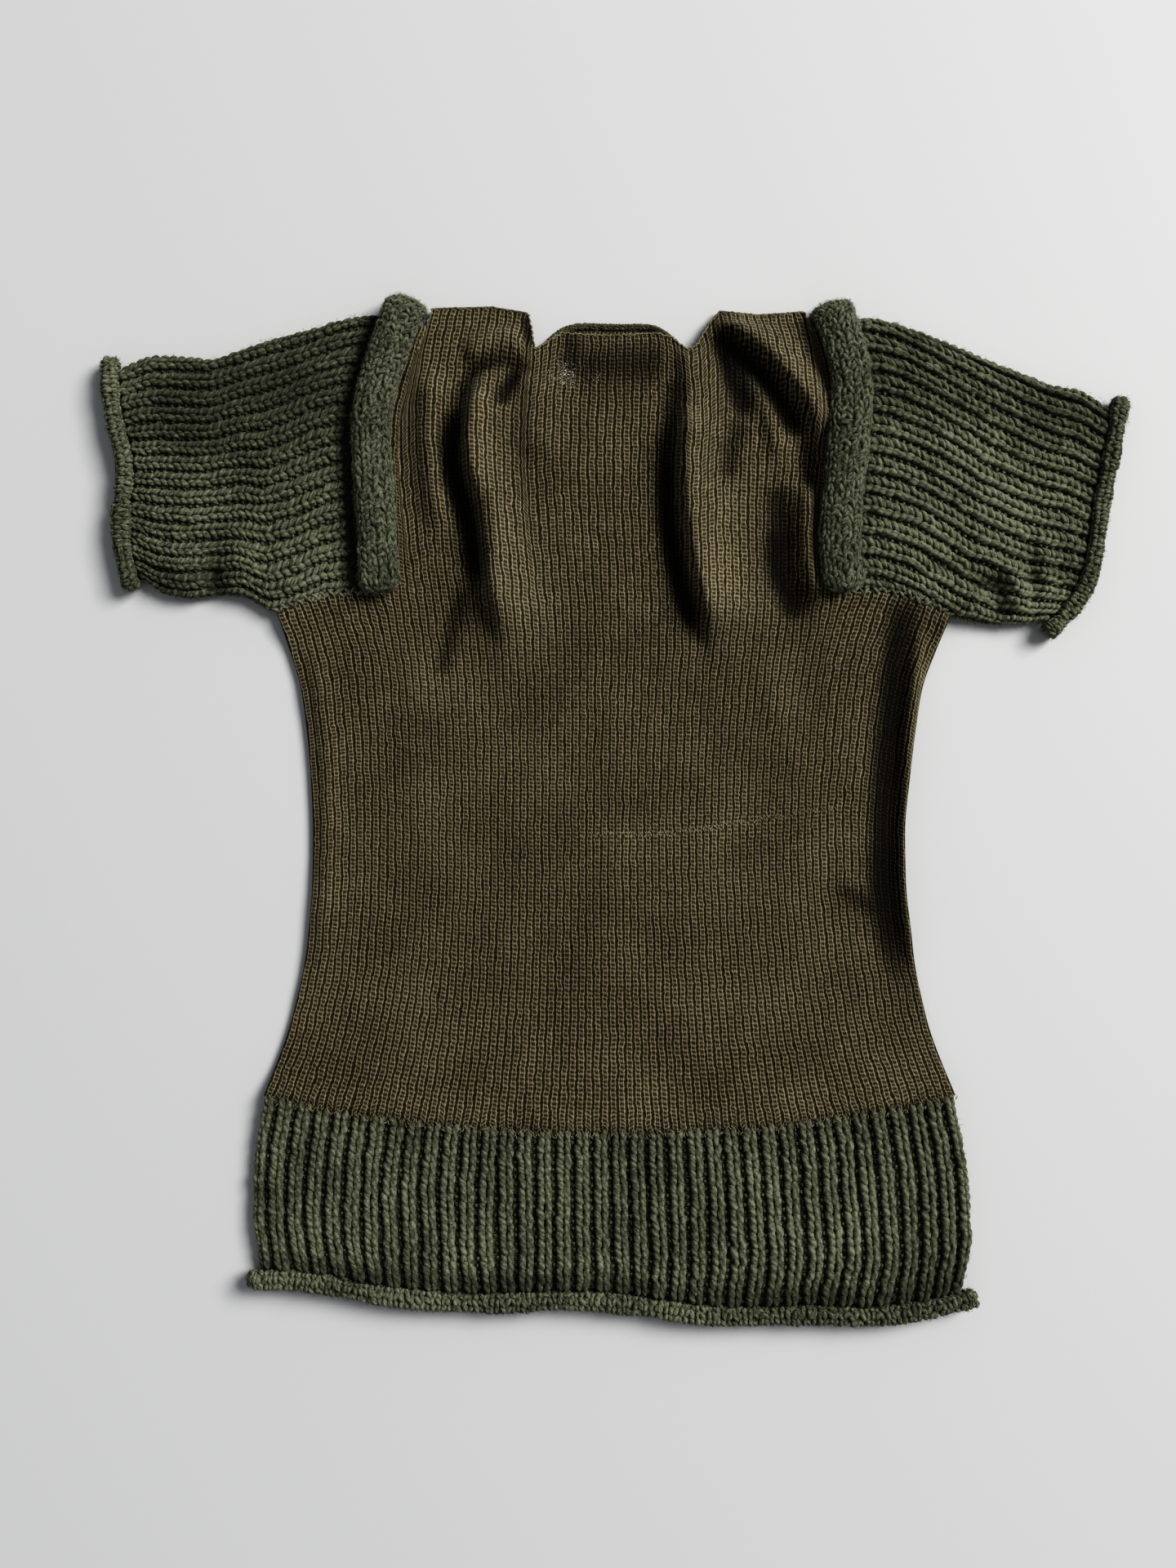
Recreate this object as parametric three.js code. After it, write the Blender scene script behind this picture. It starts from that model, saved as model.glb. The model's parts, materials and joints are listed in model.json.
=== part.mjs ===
// A short-sleeved wool sweater laid flat on its back: front up, neck towards +Y.
// The body is a fine machine knit. The sleeves, the hem band and the rolled trims are heavy hand knit.
// Lengths are in millimetres, Z is up, the table is z = 0 and the origin is the middle of the outline.
// "Left" is the side of -X, on the left of a person who looks down at the laid-out front.

import * as THREE from 'three';

// ---------- driving dimensions ----------

const FINE_WALL = 1.8; // thickness of the fine body knit
const BACK_WALL = 2; // the back panel, flat on the table
const CHUNKY_WALL = 4.8; // thickness of the heavy wool knit
const LAYER_GAP = 0.6; // air between the two layers of a flattened tube
const HEM_INSET = 0.35; // each piece stops this far short of the hem seam, in plan
const SLEEVE_INSET = 0.6; // and this far short of an armhole or underarm seam
const ROLL_GAP = 0.8; // between a rolled edge and the knit that it ends, in plan
const REST_GAP = 0.3; // between two pieces that lie on each other
const TUBE_HEIGHT = 2 * CHUNKY_WALL + LAYER_GAP;

const HEM_ROLL = { halfWidth: 5.6, halfHeight: 3.9 };
const CUFF_ROLL = { halfWidth: 4.4, halfHeight: 3.6 };
const SHOULDER_ROLL = { halfWidth: 12, halfHeight: 5.5 };
const NECK_EDGE_RADIUS = 1.9;
const ROLL_SIDES = 8;

const FRONT_REST = BACK_WALL + REST_GAP; // underside of the front where it lies on the back
const SEAM_RISE = 4.1; // how far the front climbs to meet the thicker knit at a seam
const NECK_RISE = 2.4; // how far the front neck edge lies above the back's turned edge

// ---------- outline of the body, points [x, y] ----------

const HEM_LEFT = -214;
const HEM_RIGHT = 208.5;
const HEM_CORNER_Y = -174;
const HEM_SAG = 22; // the hem seam hangs this much lower in the middle than at its corners
const HEM_SAG_POWER = 2.2;

const WING_TIP_LEFT = [-206.5, 118]; // where side edge, underarm seam and sleeve meet
const WING_TIP_RIGHT = [206, 117];
const UNDERARM_CORNER_LEFT = [-142, 132.5]; // lower end of the armhole seam
const UNDERARM_CORNER_RIGHT = [140.5, 134];
const SHOULDER_POINT_LEFT = [-129, 301]; // upper end of the armhole seam, under the shoulder roll
const SHOULDER_POINT_RIGHT = [134.5, 298];

const BODY_SIDE_LEFT = [
  [HEM_LEFT, HEM_CORNER_Y], [-199, -134], [-188.5, -89], [-184.5, -34], [-186.5, 31], [-194, 88],
  WING_TIP_LEFT,
];
const BODY_SIDE_RIGHT = [
  [HEM_RIGHT, HEM_CORNER_Y], [190, -124], [179.5, -64], [175.5, -24], [180, 16], [186, 66], [194.5, 96],
  WING_TIP_RIGHT,
];
const UNDERARM_LEFT = [WING_TIP_LEFT, [-176.5, 132], [-161, 134], UNDERARM_CORNER_LEFT];
const UNDERARM_RIGHT = [UNDERARM_CORNER_RIGHT, [157.5, 135], [185.5, 129.5], WING_TIP_RIGHT];
const ARMHOLE_LEFT = [
  UNDERARM_CORNER_LEFT, [-144.5, 180], [-146.5, 211], [-147.5, 239], [-141.5, 266], SHOULDER_POINT_LEFT,
];
const ARMHOLE_RIGHT = [
  UNDERARM_CORNER_RIGHT, [136.5, 156], [138, 186], [144, 246], [143, 270], SHOULDER_POINT_RIGHT,
];

// The shoulder edges dip under the shoulder rolls, and two pleats notch the wide neck.
const FRONT_TOP = [
  SHOULDER_POINT_LEFT, [-116, 296], [-111.5, 308.5], [-76, 309.5], [-54, 306], [-52.5, 304.5], [-48.5, 282.5],
  [-45, 285], [-33, 292.5], [-7, 291], [27, 292.5], [35.5, 290], [45, 281.5], [51, 285.5],
  [58.5, 299], [65, 307], [88.5, 304.5], [117, 306.5], [121.5, 294], SHOULDER_POINT_RIGHT,
];
const BACK_NECK = [[-41, 287.4], [-29, 296.3], [-18, 297.6], [0, 297], [18, 297.2], [26, 296.2], [39, 286.4]];
const BACK_LEFT_SHOULDER = [[-54.5, 304.5], [-76, 308.5], [-112, 307.5], [-116.5, 295.5]];
const BACK_RIGHT_SHOULDER = [[122, 293.5], [117, 305.5], [88.5, 303.5], [65, 306], [59, 298.5], [51, 284.5]];
const BACK_NOTCH_LEFT = [-49.5, 282];
const BACK_NOTCH_RIGHT = [45, 280.5];

// ---------- outlines of the knitted-on pieces ----------

const BAND_SIDE_LEFT = [[HEM_LEFT, HEM_CORNER_Y], [-220, -204], [-222, -254], [-217.5, -279.5]];
const BAND_SIDE_RIGHT = [[HEM_RIGHT, HEM_CORNER_Y], [214.5, -200], [219, -234], [221.5, -269], [215, -292]];
const HEM_ROLL_LINE = [
  [-217, -285.5], [-190, -286.5], [-160, -292], [-129, -297], [-83, -300], [-37, -298.5], [2, -299.5],
  [33, -304.5], [62, -308], [121, -307], [150, -308.2], [180, -306], [214.5, -298.5],
];

const SLEEVE_LEFT = {
  high: [
    SHOULDER_POINT_LEFT, [-142, 301], [-148, 304.8], [-186.5, 295.5], [-216.5, 287.5], [-249, 276],
    [-262, 278.5], [-276.5, 281], [-290, 277],
  ],
  low: [WING_TIP_LEFT, [-215, 124], [-226.5, 131], [-237.5, 132], [-256, 128.5], [-276.5, 132]],
  cuff: [[-295.5, 141.5], [-300.3, 164.5], [-299.5, 194], [-297.5, 208.5], [-305.5, 242.5], [-308, 270.5]],
};
const SLEEVE_RIGHT = {
  high: [
    SHOULDER_POINT_RIGHT, [145, 297.5], [152, 304], [185.5, 294], [229.5, 276], [264, 262], [277, 258.5],
    [292, 256.5],
  ],
  low: [WING_TIP_RIGHT, [221, 114.5], [243, 112.5]],
  cuff: [[268.5, 112.5], [280.5, 125], [290.5, 144.5], [297.5, 189.5], [303, 216], [308.6, 246.5]],
};

// Soft bulges of the sleeves' upper layer: middle [x, y], reach along x and y, and height.
const SLEEVE_BULGES = [
  { middle: [-262, 150], reach: [24, 13], height: 5 },
  { middle: [-232, 152], reach: [13, 15], height: 4 },
  { middle: [236, 136], reach: [26, 14], height: 5 },
  { middle: [-222, 215], reach: [34, 40], height: 1.5 },
  { middle: [226, 215], reach: [34, 40], height: 1.5 },
];

// ---------- the folds of the front: a line along the fold, its height and its half width ----------
// A positive height is a ridge and a negative one a trough between ridges.

const FRONT_FOLDS = [
  { line: [[-112, 270], [-112, 216], [-104, 165]], height: 6, reach: 8 },
  { line: [[-99, 250], [-102, 226], [-98, 200], [-86, 156], [-84, 125]], height: -5, reach: 7 },
  { line: [[-78, 250], [-84, 216], [-80, 186], [-73, 150], [-67, 96]], height: 8, reach: 11 },
  { line: [[-58, 286], [-68, 274], [-86, 250]], height: 7, reach: 9 },
  { line: [[-52, 277], [-72, 244]], height: -4, reach: 5 },
  { line: [[64, 303], [84, 292], [100, 274], [118, 256], [127, 239], [123, 195]], height: 7, reach: 8 },
  { line: [[70, 292], [88, 278], [102, 252], [112, 220], [110, 180], [104, 140]], height: -4, reach: 7 },
  { line: [[83, 266], [89, 250], [95, 222]], height: 5, reach: 7 },
  { line: [[79, 262], [76, 222]], height: -3, reach: 6 },
  { line: [[47, 272], [53, 244], [57, 200], [63, 156], [74, 122]], height: 7.5, reach: 13 },
  { line: [[22, 262], [25, 216], [34, 146], [45, 110]], height: -2.5, reach: 10 },
  { line: [[181, 110], [176, 60], [174, 0], [173, -50], [180, -100]], height: 2, reach: 8 },
  { line: [[-184, 100], [-177, 40], [-176, -30], [-181, -90]], height: 1.5, reach: 9 },
];
const CHEST_LOFT = 3.4; // the gathered upper front stands this much off the back between its folds

// ---------- lines in plan: each is a function of t from 0 to 1 that gives a point ----------

const { lerp: mix, smoothstep } = THREE.MathUtils;
const flatPoint = ([x, y]) => new THREE.Vector3(x, y, 0);

function softLine(points) {
  const curve = new THREE.CatmullRomCurve3(points.map(flatPoint), false, 'centripetal');
  return (t) => curve.getPointAt(t);
}

/** A line with corners. Its marks are the values of t at the corners. */
function cornerLine(vectors) {
  const marks = [0];
  for (let i = 1; i < vectors.length; i += 1) {
    marks.push(marks[i - 1] + vectors[i].distanceTo(vectors[i - 1]));
  }
  const total = marks.at(-1);
  const line = (t) => {
    const reach = t * total;
    const next = Math.max(1, marks.findIndex((mark) => mark >= reach - 1e-9));
    const share = (reach - marks[next - 1]) / (marks[next] - marks[next - 1]);
    return vectors[next - 1].clone().lerp(vectors[next], share);
  };
  line.marks = marks.map((mark) => mark / total);
  return line;
}

const sample = (line, count) => Array.from({ length: count + 1 }, (_, i) => line(i / count));
const reversed = (line) => (t) => line(1 - t);
const shifted = (line, dx, dy) => (t) => line(t).add(new THREE.Vector3(dx, dy, 0));

/** The sideways direction of a line in plan, on the left of its forward direction. */
function normalOf(line, t) {
  const step = 0.004;
  const forward = line(Math.min(1, t + step)).sub(line(Math.max(0, t - step))).normalize();
  return new THREE.Vector3(-forward.y, forward.x, 0);
}

const offsetLine = (line, distance) => (t) => line(t).addScaledVector(normalOf(line, t), distance);

/** A line drawn so that it starts and ends at the given points, with the change shared out along it. */
function drawnTo(line, start, end) {
  const [fromStart, fromEnd] = [start.clone().sub(line(0)), end.clone().sub(line(1))];
  return (t) => line(t).addScaledVector(fromStart, 1 - t).addScaledVector(fromEnd, t);
}

/** A surface in plan between four lines: low and high run along u, start and end run along v. */
function patch(low, high, start, end) {
  const [lowStart, lowEnd, highStart, highEnd] = [low(0), low(1), high(0), high(1)];
  return (u, v) => {
    const alongU = low(u).lerp(high(u), v);
    const alongV = start(v).lerp(end(v), u);
    const corners = lowStart.clone().lerp(lowEnd, u).lerp(highStart.clone().lerp(highEnd, u), v);
    return alongU.add(alongV).sub(corners);
  };
}

// ---------- closed solids from rows of points ----------

/** A geometry from corner points, three to a triangle, with its faces turned outwards. */
function solidFrom(corners) {
  let volume = 0;
  for (let i = 0; i < corners.length; i += 3) {
    volume += corners[i].dot(corners[i + 1].clone().cross(corners[i + 2]));
  }
  const outward = volume > 0 ? corners : corners.slice().reverse();
  const geometry = new THREE.BufferGeometry().setFromPoints(outward);
  geometry.computeVertexNormals();
  return geometry;
}

/**
 * A closed wall between two grids of points. hasCell says which cells of the grid are cloth, and
 * closedRound joins the last column to the first, as in a tube.
 */
function wall(outer, inner, { hasCell = () => true, closedRound = false } = {}) {
  const rows = outer.length - 1;
  const width = outer[0].length;
  const columns = closedRound ? width : width - 1;
  const corners = [];
  const quad = (a, b, c, d) => corners.push(a, b, c, a, c, d);
  const isCloth = (row, column) => {
    const wrapped = closedRound ? (column + columns) % columns : column;
    return row >= 0 && row < rows && wrapped >= 0 && wrapped < columns && hasCell(row, wrapped);
  };
  for (let row = 0; row < rows; row += 1) {
    for (let column = 0; column < columns; column += 1) {
      if (!isCloth(row, column)) continue;
      const next = (column + 1) % width;
      const around = [[row, column], [row, next], [row + 1, next], [row + 1, column]];
      const neighbours = [[row - 1, column], [row, column + 1], [row + 1, column], [row, column - 1]];
      const top = around.map(([r, c]) => outer[r][c]);
      const under = around.map(([r, c]) => inner[r][c]);
      quad(top[0], top[1], top[2], top[3]);
      quad(under[3], under[2], under[1], under[0]);
      neighbours.forEach(([r, c], side) => {
        const far = (side + 1) % 4;
        if (!isCloth(r, c)) quad(top[far], top[side], under[side], under[far]);
      });
    }
  }
  return solidFrom(corners);
}

/** A rod through sections of the same number of points, either capped or joined end to end. */
function loft(sections, closedLoop = false) {
  const corners = [];
  const sides = sections[0].length;
  const steps = closedLoop ? sections.length : sections.length - 1;
  for (let i = 0; i < steps; i += 1) {
    const here = sections[i];
    const there = sections[(i + 1) % sections.length];
    for (let k = 0; k < sides; k += 1) {
      const next = (k + 1) % sides;
      corners.push(here[k], here[next], there[next], here[k], there[next], there[k]);
    }
  }
  if (!closedLoop) {
    const [first, last] = [sections[0], sections.at(-1)];
    for (let k = 1; k < sides - 1; k += 1) {
      corners.push(first[0], first[k + 1], first[k]);
      corners.push(last[0], last[k], last[k + 1]);
    }
  }
  return solidFrom(corners);
}

/** A flat-sided round section across a rod, its flats at the given half width and half height. */
function sectionAt({ centre, along, side }, { halfWidth, halfHeight }, scale = 1) {
  const up = side.clone().cross(along).normalize();
  const toCorner = scale / Math.cos(Math.PI / ROLL_SIDES);
  return Array.from({ length: ROLL_SIDES }, (_, k) => {
    const angle = ((k + 0.5) * 2 * Math.PI) / ROLL_SIDES;
    return centre.clone()
      .addScaledVector(side, Math.cos(angle) * halfWidth * toCorner)
      .addScaledVector(up, Math.sin(angle) * halfHeight * toCorner);
  });
}

/** Places along a quarter or half turn in a vertical plane, outwards and down. */
function bendDown({ from, outward, side, radius, quarterTurns, steps }) {
  return Array.from({ length: steps }, (_, i) => {
    const angle = ((i + 1) / steps) * quarterTurns * (Math.PI / 2);
    const centre = from.clone().addScaledVector(outward, Math.sin(angle) * radius);
    centre.z -= (1 - Math.cos(angle)) * radius;
    const along = outward.clone().multiplyScalar(Math.cos(angle));
    along.z -= Math.sin(angle);
    return { centre, along, side };
  });
}

/** The rolled edge of a flattened opening: one run over the front, one under it, joined at both ends. */
function rolledEdge(line, size, steps, bendSteps) {
  const lowZ = size.halfHeight;
  const highZ = 3 * size.halfHeight + REST_GAP;
  const run = (z, backwards) => Array.from({ length: steps + 1 }, (_, i) => {
    const t = backwards ? 1 - i / steps : i / steps;
    const side = normalOf(line, t).negate();
    const along = new THREE.Vector3(-side.y, side.x, 0).multiplyScalar(backwards ? -1 : 1);
    const centre = line(t).setZ(z);
    return { centre, along, side };
  });
  const front = run(highZ, false);
  const back = run(lowZ, true);
  const radius = (highZ - lowZ) / 2;
  const turn = (place) => bendDown({
    from: place.centre, outward: place.along, side: place.side, radius, quarterTurns: 2, steps: bendSteps,
  }).slice(0, -1);
  const [first] = front;
  const startTurn = turn({ centre: first.centre, along: first.along.clone().negate(), side: first.side });
  const returning = startTurn.reverse().map((place) => ({ ...place, along: place.along.negate() }));
  const places = [...front, ...turn(front.at(-1)), ...back, ...returning];
  return loft(places.map((place) => sectionAt(place, size)), true);
}

// ---------- lines that more than one piece uses ----------

const underarmLeft = softLine(UNDERARM_LEFT);
const underarmRight = softLine(UNDERARM_RIGHT);
const armholeLeft = softLine(ARMHOLE_LEFT);
const armholeRight = softLine(ARMHOLE_RIGHT);
const hemRollLine = softLine(HEM_ROLL_LINE);

function hemSeam(t) {
  const middle = (HEM_LEFT + HEM_RIGHT) / 2;
  const x = mix(HEM_LEFT, HEM_RIGHT, t);
  const share = Math.abs((x - middle) / (HEM_RIGHT - middle));
  return new THREE.Vector3(x, HEM_CORNER_Y - HEM_SAG * (1 - share ** HEM_SAG_POWER), 0);
}

// ---------- the front's height over the table ----------

const asSamples = (line, count = 24) => sample(line, count);
const seamsToThickWool = [hemSeam, armholeLeft, armholeRight, underarmLeft, underarmRight];
const thickSeams = seamsToThickWool.map((line) => asSamples(line, 40));
const bodySides = [BODY_SIDE_LEFT, BODY_SIDE_RIGHT].map((points) => asSamples(softLine(points)));
const foldLines = FRONT_FOLDS.map((fold) => ({ ...fold, samples: asSamples(softLine(fold.line)) }));

/** How far a place is from a sampled line, and how far along the line the nearest point is. */
function nearest(samples, place) {
  let best = { distance: Infinity, t: 0 };
  const segment = new THREE.Line3();
  const foot = new THREE.Vector3();
  for (let i = 1; i < samples.length; i += 1) {
    segment.set(samples[i - 1], samples[i]);
    const share = segment.closestPointToPointParameter(place, true);
    const distance = segment.at(share, foot).distanceTo(place);
    if (distance < best.distance) best = { distance, t: (i - 1 + share) / (samples.length - 1) };
  }
  return best;
}

function frontUnderside(place) {
  const sideFade = Math.min(...bodySides.map((line) => smoothstep(nearest(line, place).distance, 0, 24)));
  const seamDistance = Math.min(...thickSeams.map((line) => nearest(line, place).distance));
  const seamLift = SEAM_RISE * Math.exp(-((seamDistance / 13) ** 2));
  let folds = CHEST_LOFT * smoothstep(place.y, 40, 150) * sideFade;
  for (const { samples, height, reach } of foldLines) {
    const { distance, t } = nearest(samples, place);
    const endFade = smoothstep(t, -0.05, 0.2) * (1 - smoothstep(t, 0.75, 1.05));
    folds += height * Math.exp(-((distance / reach) ** 2)) * endFade;
  }
  const topFade = 1 - smoothstep(place.y, 284, 302);
  const neckLift = NECK_RISE * smoothstep(place.y, 268, 282) * smoothstep(50 - Math.abs(place.x), 0, 4);
  const settled = Math.max(0, folds * topFade * smoothstep(seamDistance, 3, 16));
  return FRONT_REST + Math.max(settled, neckLift, seamLift);
}

// ---------- the pieces ----------

const LOWER_ROWS = 7;
const UPPER_ROWS = 12;
const WING_COLUMNS = 4;
const COLUMN_STEP = 12; // most that two columns of the upper front may be apart at its top edge

/** The front panel: a wide block below the underarms and a narrower one between the armholes. */
function bodyFront() {
  const top = cornerLine(FRONT_TOP.map(flatPoint));
  const crossing = (t) => underarmLeft(1).lerp(underarmRight(0), t);
  const bottom = shifted(hemSeam, 0, HEM_INSET);
  const leftWing = (underarmLeft(1).x - HEM_LEFT) / (HEM_RIGHT - HEM_LEFT);
  const rightWing = (underarmRight(0).x - HEM_LEFT) / (HEM_RIGHT - HEM_LEFT);
  const blockTop = (u) => {
    if (u <= leftWing) return shifted(underarmLeft, 0, -SLEEVE_INSET)(u / leftWing);
    if (u >= rightWing) return shifted(underarmRight, 0, -SLEEVE_INSET)((u - rightWing) / (1 - rightWing));
    return crossing((u - leftWing) / (rightWing - leftWing));
  };
  const sideLeft = drawnTo(softLine(BODY_SIDE_LEFT), bottom(0), blockTop(0));
  const sideRight = drawnTo(softLine(BODY_SIDE_RIGHT), bottom(1), blockTop(1));
  const lower = patch(bottom, blockTop, sideLeft, sideRight);
  const armholes = [shifted(armholeLeft, SLEEVE_INSET, 0), shifted(armholeRight, -SLEEVE_INSET, 0)];
  const upper = patch(crossing, top, ...armholes);

  const shares = [];
  top.marks.slice(1).forEach((mark, i) => {
    const start = top.marks[i];
    const length = top(mark).distanceTo(top(start));
    const parts = Math.ceil(length / COLUMN_STEP);
    for (let k = 0; k < parts; k += 1) shares.push(mix(start, mark, k / parts));
  });
  shares.push(1);
  const wing = (from, to, count) => Array.from({ length: count }, (_, i) => mix(from, to, i / count));
  const middle = shares.map((share) => mix(leftWing, rightWing, share));
  const onLeft = wing(0, leftWing, WING_COLUMNS);
  const onRight = wing(1, rightWing, WING_COLUMNS).reverse();
  const acrossLower = [...onLeft, ...middle, ...onRight];

  const under = [];
  for (let row = 0; row < LOWER_ROWS; row += 1) {
    under.push(acrossLower.map((u) => lower(u, row / LOWER_ROWS)));
  }
  const shoulder = acrossLower.map((u) => lower(u, 1));
  under.push(shoulder);
  for (let row = 1; row <= UPPER_ROWS; row += 1) {
    const points = shares.map((share) => upper(share, row / UPPER_ROWS));
    const spare = Array.from({ length: WING_COLUMNS }, () => new THREE.Vector3());
    under.push([...spare, ...points, ...spare]);
  }
  under.forEach((points) => points.forEach((point) => point.setZ(frontUnderside(point.clone().setZ(0)))));
  const over = under.map((points) => points.map((point) => point.clone().setZ(point.z + FINE_WALL)));
  const lastMiddle = WING_COLUMNS + shares.length - 1;
  const hasCell = (row, column) => row < LOWER_ROWS || (column >= WING_COLUMNS && column < lastMiddle);
  return wall(over, under, { hasCell });
}

/** The back panel lies flat on the table. Its neck edge keeps clear of the turned edge beyond it. */
function bodyBack() {
  const neck = offsetLine(softLine(BACK_NECK), -(NECK_EDGE_RADIUS + ROLL_GAP));
  const outline = [
    ...sample(shifted(hemSeam, 0, HEM_INSET), 24),
    ...sample(softLine(BODY_SIDE_RIGHT), 16).slice(1, -1),
    ...sample(shifted(reversed(underarmRight), 0, -SLEEVE_INSET), 8),
    ...sample(shifted(armholeRight, -SLEEVE_INSET, 0), 20).slice(1),
    ...BACK_RIGHT_SHOULDER.map(flatPoint),
    flatPoint(BACK_NOTCH_RIGHT),
    ...sample(reversed(neck), 12),
    flatPoint(BACK_NOTCH_LEFT),
    ...BACK_LEFT_SHOULDER.map(flatPoint),
    ...sample(shifted(reversed(armholeLeft), SLEEVE_INSET, 0), 20),
    ...sample(shifted(reversed(underarmLeft), 0, -SLEEVE_INSET), 8).slice(1),
    ...sample(reversed(softLine(BODY_SIDE_LEFT)), 16).slice(1, -1),
  ];
  const shape = new THREE.Shape(outline.map((point) => new THREE.Vector2(point.x, point.y)));
  return new THREE.ExtrudeGeometry(shape, { depth: BACK_WALL, bevelEnabled: false });
}

/** A knitted tube pressed flat: plan(u, v) goes along it by u and across it, fold to fold, by v. */
function flattenedTube(plan, { stations, across, bulge = () => 0 }) {
  const foldRound = 3;
  const ring = (u, inset, lowZ, highZ) => {
    const width = plan(u, 0).distanceTo(plan(u, 1));
    const edge = inset / width;
    const nearEdge = (inset + foldRound) / width;
    const steps = Array.from({ length: across + 1 }, (_, i) => mix(nearEdge, 1 - nearEdge, i / across));
    const foldZ = TUBE_HEIGHT / 2;
    const lower = steps.map((v) => plan(u, v).setZ(lowZ));
    const upper = steps.map((v) => {
      const point = plan(u, v);
      return point.setZ(highZ + bulge(point));
    });
    return [plan(u, edge).setZ(foldZ), ...lower, plan(u, 1 - edge).setZ(foldZ), ...upper.reverse()];
  };
  const every = Array.from({ length: stations + 1 }, (_, i) => i / stations);
  const outer = every.map((u) => ring(u, 0, 0, TUBE_HEIGHT));
  const inner = every.map((u) => ring(u, CHUNKY_WALL, CHUNKY_WALL, TUBE_HEIGHT - CHUNKY_WALL));
  return wall(outer, inner, { closedRound: true });
}

function hemBand() {
  const seam = shifted(hemSeam, 0, -HEM_INSET);
  const foot = offsetLine(hemRollLine, HEM_ROLL.halfWidth + ROLL_GAP);
  const left = drawnTo(softLine(BAND_SIDE_LEFT), seam(0), foot(0));
  const right = drawnTo(softLine(BAND_SIDE_RIGHT), seam(1), foot(1));
  return flattenedTube(patch(left, right, seam, foot), { stations: 4, across: 22 });
}

/** A sleeve runs from its armhole to its cuff. direction is -1 for the left one and 1 for the right one. */
function sleeve(outline, direction, underarm, armhole) {
  const cuff = offsetLine(softLine(outline.cuff), direction * (CUFF_ROLL.halfWidth + ROLL_GAP));
  const seam = shifted(armhole, direction * SLEEVE_INSET, 0);
  const free = softLine([...outline.low, [cuff(0).x, cuff(0).y - SLEEVE_INSET]]);
  const underside = cornerLine([...sample(underarm, 12).slice(0, -1), ...sample(free, 16)]);
  const corner = shifted(seam, 0, SLEEVE_INSET)(0);
  const low = drawnTo(shifted(underside, 0, SLEEVE_INSET), corner, cuff(0));
  const high = drawnTo(softLine([...outline.high, [cuff(1).x, cuff(1).y]]), seam(1), cuff(1));
  const plan = patch(low, high, drawnTo(seam, low(0), high(0)), cuff);
  return flattenedTube(plan, { stations: 9, across: 12, bulge: sleeveBulge });
}

function sleeveBulge(point) {
  return SLEEVE_BULGES.reduce((sum, { middle, reach, height }) => {
    const dx = (point.x - middle[0]) / reach[0];
    const dy = (point.y - middle[1]) / reach[1];
    return sum + height * Math.exp(-dx * dx - dy * dy);
  }, 0);
}

/** A thick rolled trim on the armhole seam. Its upper end turns down over the shoulder edge. */
function shoulderRoll(armhole) {
  const steps = 13;
  const bendRadius = 7.4;
  const middleZ = TUBE_HEIGHT + REST_GAP + SHOULDER_ROLL.halfHeight;
  const places = Array.from({ length: steps + 1 }, (_, i) => {
    const t = i / steps;
    const side = normalOf(armhole, t).negate();
    const along = new THREE.Vector3(-side.y, side.x, 0);
    const centre = armhole(t).setZ(middleZ);
    return { centre, along, side };
  });
  const top = places.at(-1);
  const bend = bendDown({
    from: top.centre, outward: top.along, side: top.side, radius: bendRadius, quarterTurns: 1, steps: 4,
  });
  const end = bend.at(-1);
  const foot = { ...end, centre: end.centre.clone().setZ(1) };
  const sections = [...places, ...bend, foot].map((place) => sectionAt(place, SHOULDER_ROLL));
  const blunt = { ...places[0], centre: places[0].centre.clone().addScaledVector(places[0].along, -4) };
  return loft([sectionAt(blunt, SHOULDER_ROLL, 0.6), ...sections]);
}

/** The back's turned neck edge, a thin roll that shows beyond the front's neck edge. */
function neckEdge() {
  const line = softLine(BACK_NECK);
  const size = { halfWidth: NECK_EDGE_RADIUS, halfHeight: NECK_EDGE_RADIUS };
  const steps = 14;
  const sections = Array.from({ length: steps + 1 }, (_, i) => {
    const t = i / steps;
    const side = normalOf(line, t).negate();
    const along = new THREE.Vector3(-side.y, side.x, 0);
    return sectionAt({ centre: line(t).setZ(NECK_EDGE_RADIUS), along, side }, size);
  });
  return loft(sections);
}

// ---------- materials and the assembled sweater ----------

const wool = (color, roughness) => new THREE.MeshStandardMaterial({ color, roughness, metalness: 0 });
const fineKnit = () => wool('#5f583a', 0.9);
const heavyWool = () => wool('#4b553c', 0.95);
const rollWool = () => wool('#56614a', 0.95);
const turnedEdge = () => wool('#3f4229', 0.9);

const sweater = new THREE.Group();

function addPiece(name, geometry, material) {
  const piece = new THREE.Mesh(geometry, material);
  piece.name = name;
  sweater.add(piece);
}

addPiece('body_back', bodyBack(), fineKnit());
addPiece('body_front', bodyFront(), fineKnit());
addPiece('neck_edge_back', neckEdge(), turnedEdge());
addPiece('hem_band', hemBand(), heavyWool());
addPiece('hem_roll', rolledEdge(hemRollLine, HEM_ROLL, 24, 4), heavyWool());
addPiece('sleeve_left', sleeve(SLEEVE_LEFT, -1, reversed(underarmLeft), armholeLeft), heavyWool());
addPiece('sleeve_right', sleeve(SLEEVE_RIGHT, 1, underarmRight, armholeRight), heavyWool());
addPiece('cuff_roll_left', rolledEdge(softLine(SLEEVE_LEFT.cuff), CUFF_ROLL, 12, 4), heavyWool());
addPiece('cuff_roll_right', rolledEdge(softLine(SLEEVE_RIGHT.cuff), CUFF_ROLL, 14, 4), heavyWool());
addPiece('shoulder_roll_left', shoulderRoll(armholeLeft), rollWool());
addPiece('shoulder_roll_right', shoulderRoll(armholeRight), rollWool());

// The origin is the middle of the finished outline.
const outlineBox = new THREE.Box3().setFromObject(sweater);
const outlineMiddle = outlineBox.getCenter(new THREE.Vector3());
sweater.position.set(-outlineMiddle.x, -outlineMiddle.y, 0);

export default sweater;
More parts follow.
